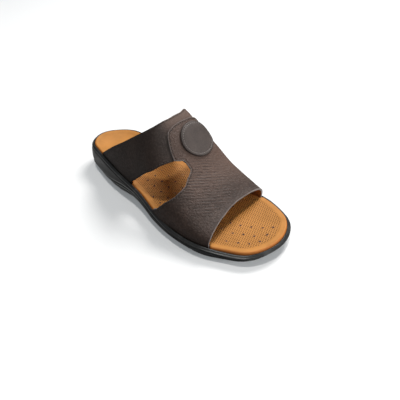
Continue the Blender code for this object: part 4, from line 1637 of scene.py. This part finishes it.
@dataclass
class Upper:
    """The instep strap and the vamp with its flap, its two windows and their sewn edges."""

    last: Last
    finishes: Finishes
    tuck: float = 0.0046
    lap_sink: float = 0.0004
    rows: int = 250
    rear_columns: int = 20
    window_columns: int = 16
    front_columns: int = 62
    strap_columns: int = 46
    rim_round: float = 0.00050
    seam_inset: float = 0.0017
    stitch: tuple[float, float, float] = (0.0021, 0.00085, 0.0007)
    stitch_pitch: float = 0.0030
    seam_end: float = 0.004
    flap_end: float = 0.012
    window_end: float = 0.014
    meet_end: float = 0.006

    def climb(self, along: Array) -> Array:
        """How far the vamp stands off the last where it climbs on to the strap."""
        strap_end = smooth_column(EDGES, 2, 0.5)
        part = np.clip((strap_end + 0.075 - along) / 0.070, 0, 1)
        return (self.last.sizes.leather - self.lap_sink) * part * part * (3 - 2 * part)

    def _folds(self, over: Array, along: Array) -> Array:
        """Soft troughs and ridges of the vamp.

        Args:
            over: Over shares.
            along: Plan shares.

        Returns:
            Lift of each point.
        """
        place = self.last.on(over, along, 0.0)
        across = place @ np.array(ACROSS_RIPPLES)
        side = ease(over, 0.12, 0.30) * (1 - ease(over, 0.52, 0.74))
        front = ease(along, 0.64, 0.69) * (1 - ease(along, 0.775, 0.80))
        wander = 0.0018 * np.sin(over * 31.0 + along * 17.0)
        wander += 0.0011 * np.sin(over * 63.0 - along * 41.0)
        broad = 0.00010 * np.sin(2 * math.pi * (across + wander) / 0.0081)
        fine = 0.00004 * np.sin(2 * math.pi * (across + 1.4 * wander) / 0.0047 + 1.0)
        trough = -0.0006 * bump(along, 0.672 - 0.03 * (over - 0.42), 0.010) * bump(over, 0.44, 0.05)
        return (broad + fine) * side * front + trough

    def _ripple_mask(self, over: Array, along: Array) -> Array:
        """Where the fine ripples show on the vamp."""
        side = ease(over, 0.16, 0.30) * (1 - 0.85 * ease(over, 0.50, 0.66))
        return side * ease(along, 0.60, 0.68) * (1 - 0.6 * ease(along, 0.780, 0.800))

    def _over_rows(self, extra: Sequence[float]) -> Array:
        """Rows over the foot with a row at each value that an edge needs."""
        even = np.linspace(0, 1, self.rows + 1)
        kept = [share for share in even if min(abs(share - value) for value in extra) > 0.35 / self.rows]
        return np.array(sorted(kept + list(extra)))

    @staticmethod
    def _crossing(low: float, high: float, window: Table, side: Side) -> float:
        """Over share where the vamp's rear edge meets the window's rear edge."""
        for _ in range(50):
            middle = (low + high) / 2
            own = middle if side is Side.OUTER else 1 - middle
            apart = float(smooth_column(EDGES, 3, middle) - smooth_column(window, 1, own))
            if (apart > 0) == (side is Side.OUTER):
                low = middle
            else:
                high = middle
        return (low + high) / 2

    def _shell(
        self,
        name: str,
        over: Array,
        along: Array,
        keep: Array,
        lift: Array,
        outside: Material,
        cut_edge: Material,
        marks: dict[str, Array],
    ) -> Piece:
        """Make a leather wall from a grid over the last.

        Args:
            name: Name of the piece.
            over: Over shares of the grid.
            along: Plan shares of the grid.
            keep: Cells that hold leather.
            lift: Lift of each point of the outside.
            outside: Material of the outside.
            cut_edge: Material of the cut edges.
            marks: Strengths at each point by name: of the ripples, of the painted light on the top, and of
                the sewn channel.

        Returns:
            The piece, with tan leather inside and its cut edges rounded.
        """
        base, normals = self.last.read(over, along)
        outer = base + normals * lift[..., None]
        inner = base + normals * (lift - self.last.sizes.leather)[..., None]
        down = np.array([0.0, 0.0, -self.tuck])
        outer = np.concatenate([outer[:1] + down, outer, outer[-1:] + down])
        inner = np.concatenate([inner[:1] + down, inner, inner[-1:] + down])
        keep = np.concatenate([keep[:1], keep, keep[-1:]])
        marks = {key: np.concatenate([mark[:1], mark, mark[-1:]]) for key, mark in marks.items()}
        rows, columns = outer.shape[:2]
        total = rows * columns
        top = grid_faces(rows, columns, 0, keep)
        low = [tuple(index + total for index in face[::-1]) for face in top]
        edges: dict[tuple[int, int], list[tuple[int, int]]] = {}
        for face in top:
            for start, end in zip(face, face[1:] + face[:1]):
                edges.setdefault((min(start, end), max(start, end)), []).append((start, end))
        rim = [uses[0] for uses in edges.values() if len(uses) == 1]
        walls = [(end, start, start + total, end + total) for start, end in rim]
        flat_outer = outer.reshape(-1, 3)
        cut = [pair for pair in rim if not self._is_tucked(*pair, rows, columns)]
        targets = [flat_outer[start] for start, _ in cut]
        targets += [(flat_outer[start] + flat_outer[end]) / 2 for start, end in cut]
        edge = 1000 * distance_to(flat_outer, np.array(targets))
        points = self.last.home(np.concatenate([flat_outer, inner.reshape(-1, 3)]))
        attributes = {key: np.concatenate([mark.ravel()] * 2) for key, mark in marks.items()}
        attributes["edge"] = np.concatenate([edge, edge])
        slots = [0] * len(top) + [1] * len(low) + [2] * len(walls)
        mesh = make_mesh(name, points, top + low + walls, attributes, slots)
        piece = show(name, mesh, [outside, self.finishes.lining, cut_edge])
        soften_rims(piece, self.rim_round, 2, 55.0)
        return settle(piece)

    @staticmethod
    def _is_tucked(start: int, end: int, rows: int, columns: int) -> bool:
        """Whether an edge of the grid lies in the ends that are tucked into the sole."""
        return all(index // columns in (0, 1, rows - 2, rows - 1) for index in (start, end))

    def _vamp(self) -> Piece:
        """Make the vamp."""
        outer_top, inner_top = OUTER_WINDOW[-1][0], 1 - INNER_WINDOW[-1][0]
        meet_outer = self._crossing(0.30, 0.40, OUTER_WINDOW, Side.OUTER)
        meet_inner = self._crossing(0.79, 0.86, INNER_WINDOW, Side.INNER)
        self.meets = (meet_outer, meet_inner)
        over = self._over_rows((0.0, 1.0, outer_top, inner_top, meet_outer, meet_inner))
        rear = smooth_column(EDGES, 3, over)
        front = smooth_column(EDGES, 4, over)
        in_outer = over <= outer_top + SLACK
        in_inner = over >= inner_top - SLACK
        part = ease(over, outer_top, inner_top)

        def window(column: int) -> Array:
            """Edge of the windows, carried over the instep from one to the other."""
            bridge = OUTER_WINDOW[-1][column] * (1 - part) + INNER_WINDOW[-1][column] * part
            inner = np.where(in_inner, smooth_column(INNER_WINDOW, column, 1 - over), bridge)
            return np.where(in_outer, smooth_column(OUTER_WINDOW, column, over), inner)

        window_rear, window_front = window(1), window(2)
        open_rear = (over < meet_outer - SLACK) | (over > meet_inner + SLACK)
        start = np.where(open_rear, window_rear - 0.004, rear)
        start = np.where(np.abs(over - meet_outer) < SLACK, window_rear, start)
        start = np.where(np.abs(over - meet_inner) < SLACK, window_rear, start)
        blocks = (
            (start, window_rear, self.rear_columns),
            (window_rear, window_front, self.window_columns),
            (window_front, front, self.front_columns),
        )
        lines = [start[:, None]]
        for low, high, steps in blocks:
            lines.append(low[:, None] + (high - low)[:, None] * np.linspace(0, 1, steps + 1)[1:])
        along = np.concatenate(lines, axis=1)
        grid = np.broadcast_to(over[:, None], along.shape)
        keep = np.ones((along.shape[0] - 1, along.shape[1] - 1), dtype=bool)
        middle = (over[1:] + over[:-1]) / 2
        keep[(middle < meet_outer) | (middle > meet_inner), : self.rear_columns] = False
        hole = slice(self.rear_columns, self.rear_columns + self.window_columns)
        keep[(middle < outer_top) | (middle > inner_top), hole] = False
        lift = self.climb(along) + self._folds(grid, along)
        # Painted light on the vamp: lighter from the outer side up over the top, less on the flap, fading
        # towards the inner side and the toe.
        painted_light = 0.78 * ease(grid, 0.20, 0.36) + 0.10 * ease(grid, 0.45, 0.66)
        painted_light = painted_light * (1 - ease(grid, 0.80, 0.92))
        painted_light = painted_light * (0.62 + 0.38 * ease(along, 0.58, 0.63)) * (1 - ease(along, 0.67, 0.79))
        ripple, sewn = self._ripple_mask(grid, along), 1 - ease(along, 0.745, 0.760)
        marks = {"ripple": ripple, "painted_light": painted_light, "sewn": sewn}
        finishes = (self.finishes.vamp, self.finishes.cut_edge)
        return self._shell("vamp", grid, along, keep, lift, *finishes, marks)

    def _strap(self) -> Piece:
        """Make the instep strap."""
        over = self._over_rows((0.0, 1.0))
        rear = smooth_column(EDGES, 1, over)
        front = smooth_column(EDGES, 2, over)
        along = rear[:, None] + (front - rear)[:, None] * np.linspace(0, 1, self.strap_columns + 1)
        grid = np.broadcast_to(over[:, None], along.shape)
        keep = np.ones((along.shape[0] - 1, along.shape[1] - 1), dtype=bool)
        nothing = np.zeros_like(along)
        finishes = (self.finishes.strap, self.finishes.dark_edge)
        # Painted light on the top of the strap.
        painted_light = 1.9 * ease(grid, 0.40, 0.49) * (1 - ease(grid, 0.72, 0.86))
        marks = {"ripple": nothing, "painted_light": painted_light, "sewn": np.ones_like(along)}
        return self._shell("instep_strap", grid, along, keep, nothing, *finishes, marks)

    def _sew(self, name: str, seams: Sequence[Seam], lift: Callable[[Array], Array]) -> Piece:
        """Sew stitches beside the edges.

        Args:
            name: Name of the piece.
            seams: Edges to sew along.
            lift: Lift of the leather's outside.

        Returns:
            The stitches as one piece.
        """
        places, runs, facings = [], [], []
        for seam in seams:
            points = self.last.on(seam.over, seam.along, 0.0)
            _, normals = self.last.read(seam.over, seam.along)
            tangent = np.gradient(points, axis=0)
            tangent /= np.linalg.norm(tangent, axis=1)[:, None]
            inward = np.cross(normals, tangent) * (-1 if seam.flip else 1) * self.seam_inset
            small = 0.001
            over_pace = (self.last.on(seam.over + small, seam.along, 0.0) - points) / small
            along_pace = (self.last.on(seam.over, seam.along + small, 0.0) - points) / small
            pace = np.stack([over_pace, along_pace], axis=2)
            square = np.einsum("nij,nik->njk", pace, pace)
            right = np.einsum("nij,ni->nj", pace, inward)
            shift = np.linalg.solve(square, right[..., None])[..., 0]
            over, along = seam.over + shift[:, 0], seam.along + shift[:, 1]
            line = self.last.on(over, along, lift(along) + 0.00002)
            length = run_length(line)
            even = np.arange(self.stitch_pitch / 2, length[-1], self.stitch_pitch)
            ahead, behind = (read_line(even + step, length, line) for step in (0.0005, -0.0005))
            facing = read_line(even, length, normals)
            places.append(read_line(even, length, line))
            runs.append(ahead - behind)
            facings.append(facing / np.linalg.norm(facing, axis=1)[:, None])
        home = self.last.home(np.concatenate(places))
        return Setter(Repeats.STITCH).set_on(
            name, home, np.concatenate(runs), np.concatenate(facings), self.stitch, self.finishes.thread
        )

    def build(self) -> list[Piece]:
        """Returns:
            The pieces.
        """
        vamp = self._vamp()
        strap = self._strap()
        meet_outer, meet_inner = self.meets
        start = self.seam_end
        flap = np.linspace(meet_outer + self.flap_end, meet_inner - self.flap_end, 200)
        whole = np.linspace(start, 1 - start, 400)
        outer = np.linspace(start, OUTER_WINDOW[-1][0] - self.window_end, 160)
        inner = np.linspace(start, INNER_WINDOW[-1][0] - self.window_end, 120)
        low_outer = np.linspace(start, meet_outer - self.meet_end, 160)
        low_inner = np.linspace(start, 1 - meet_inner - self.meet_end, 120)
        vamp_seams = (
            Seam(flap, smooth_column(EDGES, 3, flap), True),
            Seam(outer, smooth_column(OUTER_WINDOW, 2, outer), True),
            Seam(1 - inner, smooth_column(INNER_WINDOW, 2, inner)),
        )
        strap_seams = (
            Seam(whole, smooth_column(EDGES, 1, whole), True),
            Seam(low_outer, smooth_column(EDGES, 2, low_outer)),
            Seam(1 - low_inner, smooth_column(EDGES, 2, 1 - low_inner), True),
        )
        vamp_stitches = self._sew("vamp_stitches", vamp_seams, self.climb)
        strap_stitches = self._sew("strap_stitches", strap_seams, np.zeros_like)
        pieces = [strap, vamp, vamp_stitches, strap_stitches]
        for piece in pieces:
            register(piece, "upper")
        return pieces


@dataclass
class Medallion:
    """The plain round patch sewn on the instep."""

    last: Last
    finishes: Finishes
    upper: Upper
    size: float = 0.0400
    thick: float = 0.0020
    seat: float = 0.0004
    over: float = 0.570
    along: float = 0.584
    roll: float = 0.0015
    seam_inset: float = 0.0026
    press: float = 0.00025
    stitch: tuple[float, float, float] = (0.0020, 0.00075, 0.0006)
    stitches: int = 44
    rings: int = 26
    around: int = 120

    def _spread(self, radii: Array, turn: Array) -> tuple[Array, Array]:
        """Over and along shares of a polar grid round the patch's middle."""
        step = 0.002
        centre = self.last.on(self.over, self.along, 0.0)
        over_pace = np.linalg.norm(self.last.on(self.over + step, self.along, 0.0) - centre) / step
        along_pace = np.linalg.norm(self.last.on(self.over, self.along + step, 0.0) - centre) / step
        over = self.over + radii * np.cos(turn) / over_pace
        return over, self.along + radii * np.sin(turn) / along_pace

    def build(self) -> list[Piece]:
        """Returns:
            The pieces.
        """
        half, roll = self.size / 2, self.roll
        radii = list(np.linspace(0.0, half - roll, self.rings))
        lift = [self.thick] * self.rings
        for turn in np.linspace(0, math.pi / 2, 7)[1:]:
            radii.append(half - roll + roll * math.sin(turn))
            lift.append(self.thick - roll + roll * math.cos(turn))
        radii = np.array(radii + [half, half - 0.0004, 0.0])[:, None]
        lift = np.array(lift + [0.0002, 0.0, 0.0])[:, None]
        turn = np.linspace(0, 2 * math.pi, self.around + 1)[:-1]
        over, along = self._spread(radii, turn[None, :])
        height = self.upper.climb(along) + self.seat + lift
        press = bump(radii, half - self.seam_inset, 0.0007) * (lift > 0.0015)
        points = self.last.on(over, along, height - self.press * press).reshape(-1, 3)
        edge = np.repeat(1000 * (half - radii.ravel()), self.around)
        # The patch has no ripples and no painted light.
        attributes = {"edge": edge, "ripple": 0 * edge, "painted_light": 0 * edge, "sewn": 0 * edge + 1}
        faces = ring_faces(len(radii), self.around)
        mesh = make_mesh("round_patch", self.last.home(points), faces, attributes)
        patch = show("round_patch", mesh, [self.finishes.patch])
        register(patch, "medallion")
        turn = np.linspace(0, 2 * math.pi, self.stitches + 1)[:-1]
        over, along = self._spread(np.full_like(turn, half - self.seam_inset), turn)
        seat = self.upper.climb(along) + self.seat + self.thick - 0.0002
        place = self.last.on(over, along, seat)
        _, facing = self.last.read(over, along)
        run = np.roll(place, -1, axis=0) - np.roll(place, 1, axis=0)
        stitches = Setter(Repeats.STITCH).set_on(
            "patch_stitches", self.last.home(place), run, facing, self.stitch, self.finishes.patch_thread
        )
        register(stitches, "medallion")
        return [patch, stitches]


@dataclass
class Tread:
    """The tread under the sole, with wavy grooves that leave its lugs."""

    last: Last
    finishes: Finishes
    inset: float = 0.0012
    depth: float = 0.0028
    groove: float = 0.0030
    wave: float = 0.0035
    rim: float = 0.0026
    rows: int = 430
    columns: int = 60
    heel_grooves: tuple[float, ...] = (0.075, 0.130, 0.185, 0.240)
    ball_grooves: tuple[float, ...] = (0.575, 0.625, 0.675, 0.725, 0.775, 0.825, 0.875, 0.925)
    open_groove: float = 0.775
    rim_inset: float = 1.8
    top_inset: float = 0.6
    wall_steps: tuple[tuple[float, float], ...] = ((0.12, 1.35), (0.35, 1.0), (0.6, 0.75), (1.0, 0.6))

    def _cut(self, plan: Array, edge: Array) -> Array:
        """How deep the grooves go into the tread.

        Args:
            plan: Points of the underside in the last's place.
            edge: Distance of each from the tread's edge.

        Returns:
            Depths.
        """
        wave = self.wave * np.cos(plan[..., 0] / self.last.sizes.ball_width * 4 * math.pi)
        deep = np.zeros(plan.shape[:-1])
        for share in self.heel_grooves + self.ball_grooves:
            away = np.abs(plan[..., 1] + share * self.last.sizes.footbed_length - wave)
            cut = 1 - ease(away, self.groove / 2 - 0.0003, self.groove / 2 + 0.0004)
            closed = ease(edge, self.rim, self.rim + 0.0012)
            if share == self.open_groove:
                closed = np.where(plan[..., 0] < 0, 1.0, closed)
            deep = np.maximum(deep, cut * closed)
        return self.depth * deep

    def build(self) -> Piece:
        """Returns:
            The tread.
        """
        last = self.last
        even = np.linspace(0, 1, self.rows + 1)
        shares = 0.75 * even + 0.25 * crowded(self.rows)
        under = last.plan_grid(shares, -self.rim_inset * self.inset, self.columns)
        rim = with_height(last.outline - last.outward * self.rim_inset * self.inset, 0.0)
        edge = distance_to(with_height(under, 0.0).reshape(-1, 3), rim).reshape(under.shape[:2])
        cut = self._cut(under, edge)
        bottom = with_height(under, last.tread_lift(last.share(under[..., 1])) + cut)
        raised = Footbed.ring(cut[..., None])[:, 0]
        rings = [Footbed.ring(bottom)]
        for share_up, share_in in self.wall_steps:
            plan = Footbed.ring(last.plan_grid(shares, -share_in * self.inset, self.columns))
            low = last.tread_lift(last.share(plan[:, 1]))
            rings.append(with_height(plan, low + np.maximum(share_up * last.sizes.tread, raised)))
        top = last.plan_grid(shares, -self.top_inset * self.inset, self.columns)
        lifted = last.tread_lift(last.share(top[..., 1])) + last.sizes.tread
        closing = with_height(top, lifted)[:, [0, -1]].reshape(-1, 3)
        rows, first, count = len(shares), under.shape[0] * under.shape[1], len(rings[0])
        faces = grid_faces(rows, self.columns + 1) + ring_faces(len(rings), count, first)
        faces += grid_faces(rows, 2, first + len(rings) * count)
        points = last.home(np.concatenate([bottom.reshape(-1, 3), *rings, closing]))
        mesh = make_mesh("lugged_tread", points, faces)
        tread = show("lugged_tread", mesh, [self.finishes.tread])
        register(tread, "outsole")
        return tread


@dataclass(frozen=True)
class SoftLight:
    """A round soft light that points at the sandal."""

    name: str
    place: tuple[float, float, float]
    size: float
    power: float
    colour: tuple[float, float, float]

    def hang(self) -> None:
        """Hang the light in the studio."""
        light = bpy.data.lights.new(self.name, "AREA")
        light.shape = "DISK"
        light.size = self.size
        light.energy = self.power
        light.color = self.colour
        lamp = bpy.data.objects.new(self.name, light)
        lamp.location = self.place
        aim = Vector((0.0, 0.0, 0.03)) - Vector(self.place)
        lamp.rotation_euler = aim.to_track_quat("-Z", "Y").to_euler()
        bpy.context.scene.collection.objects.link(lamp)


@dataclass
class Studio:
    """Pale floor, soft lights and the camera."""

    finishes: Finishes
    last: Last
    azimuth: float = -42.6415
    elevation: float = 35.5
    roll: float = -3.2564
    distance: float = 0.5
    lens: float = 39.845
    centre_px: tuple[float, float] = (176.341, 184.613)
    image_px: float = 400.0
    aim: tuple[float, float] = (-0.14, 0.020)
    floor_size: float = 4.4
    sky: tuple[float, float] = (0.02, 0.30)
    sky_colour: Colour = (0.80, 0.90, 1.0, 1.0)
    lights: tuple[SoftLight, ...] = (
        SoftLight("key", (-0.36, -0.16, 2.42), 0.24, 29.0, (1.0, 0.98, 0.95)),
        SoftLight("inner_softbox", (1.42, 0.22, 1.88), 1.05, 58.0, (1.0, 0.985, 0.965)),
        SoftLight("toe_fill", (0.44, -1.25, 0.36), 0.60, 12.0, (1.0, 0.99, 0.98)),
    )

    def _floor(self) -> None:
        """Lay the floor."""
        half = self.floor_size / 2
        corners = [(-half, -half, 0.0), (half, -half, 0.0), (half, half, 0.0), (-half, half, 0.0)]
        mesh = make_mesh("studio_floor", np.array(corners), [(0, 1, 2, 3)])
        floor = show("studio_floor", mesh, [self.finishes.floor])

    def _camera(self) -> None:
        """Set the camera where the photograph was taken from."""
        turn, rise, roll = (math.radians(value) for value in (self.azimuth, self.elevation, self.roll))
        flat = math.cos(rise)
        back = Vector((math.sin(turn) * flat, -math.cos(turn) * flat, math.sin(rise)))
        right = Vector((math.cos(turn), math.sin(turn), 0.0))
        up = back.cross(right)
        tilted_right = math.cos(roll) * right + math.sin(roll) * up
        tilted_up = math.cos(roll) * up - math.sin(roll) * right
        across, along = self.last.middle
        target = Vector((-across, self.aim[0] - along, self.aim[1]))
        data = bpy.data.cameras.new("camera")
        data.lens = self.lens
        data.sensor_width = 36.0
        data.clip_start = 0.01
        data.shift_x = (self.image_px / 2 - self.centre_px[0]) / self.image_px
        data.shift_y = (self.centre_px[1] - self.image_px / 2) / self.image_px
        camera = bpy.data.objects.new("camera", data)
        matrix = Matrix((tilted_right, tilted_up, back)).transposed().to_4x4()
        matrix.translation = target + back * self.distance
        camera.matrix_world = matrix
        bpy.context.scene.collection.objects.link(camera)
        bpy.context.scene.camera = camera

    def build(self) -> None:
        """Set up the floor, the lights, the surroundings and the camera."""
        self._floor()
        world = bpy.data.worlds.new("studio")
        world.use_nodes = True
        tree = Tree(world.node_tree)
        seen = tree.add("ShaderNodeBackground", {"Color": (1.0, 1.0, 1.0, 1.0), "Strength": 1.0}).outputs[0]
        place = tree.add("ShaderNodeTexCoord").outputs["Generated"]
        up = tree.add("ShaderNodeSeparateXYZ", {0: place}).outputs[2]
        glow = {"Color": self.sky_colour, "Strength": tree.ramp(up, 0.0, 1.0, *self.sky)}
        soft = tree.add("ShaderNodeBackground", glow).outputs[0]
        seen_by_camera(tree, "World Output", seen, soft)
        bpy.context.scene.world = world
        for light in self.lights:
            light.hang()
        bpy.context.scene.view_settings.view_transform = "Standard"
        self._camera()


def main() -> None:
    """Build every sub-assembly in order."""
    logging.basicConfig(level=logging.INFO, format="%(name)s: %(message)s", force=True)
    last = Last(LastSizes())
    finishes = Finishes()
    Studio(finishes, last).build()
    Tread(last, finishes).build()
    MouldedSole(last, finishes).build()
    Footbed(last, finishes).build()
    upper = Upper(last, finishes)
    upper.build()
    Medallion(last, finishes, upper).build()


if __name__ == "__main__":
    main()
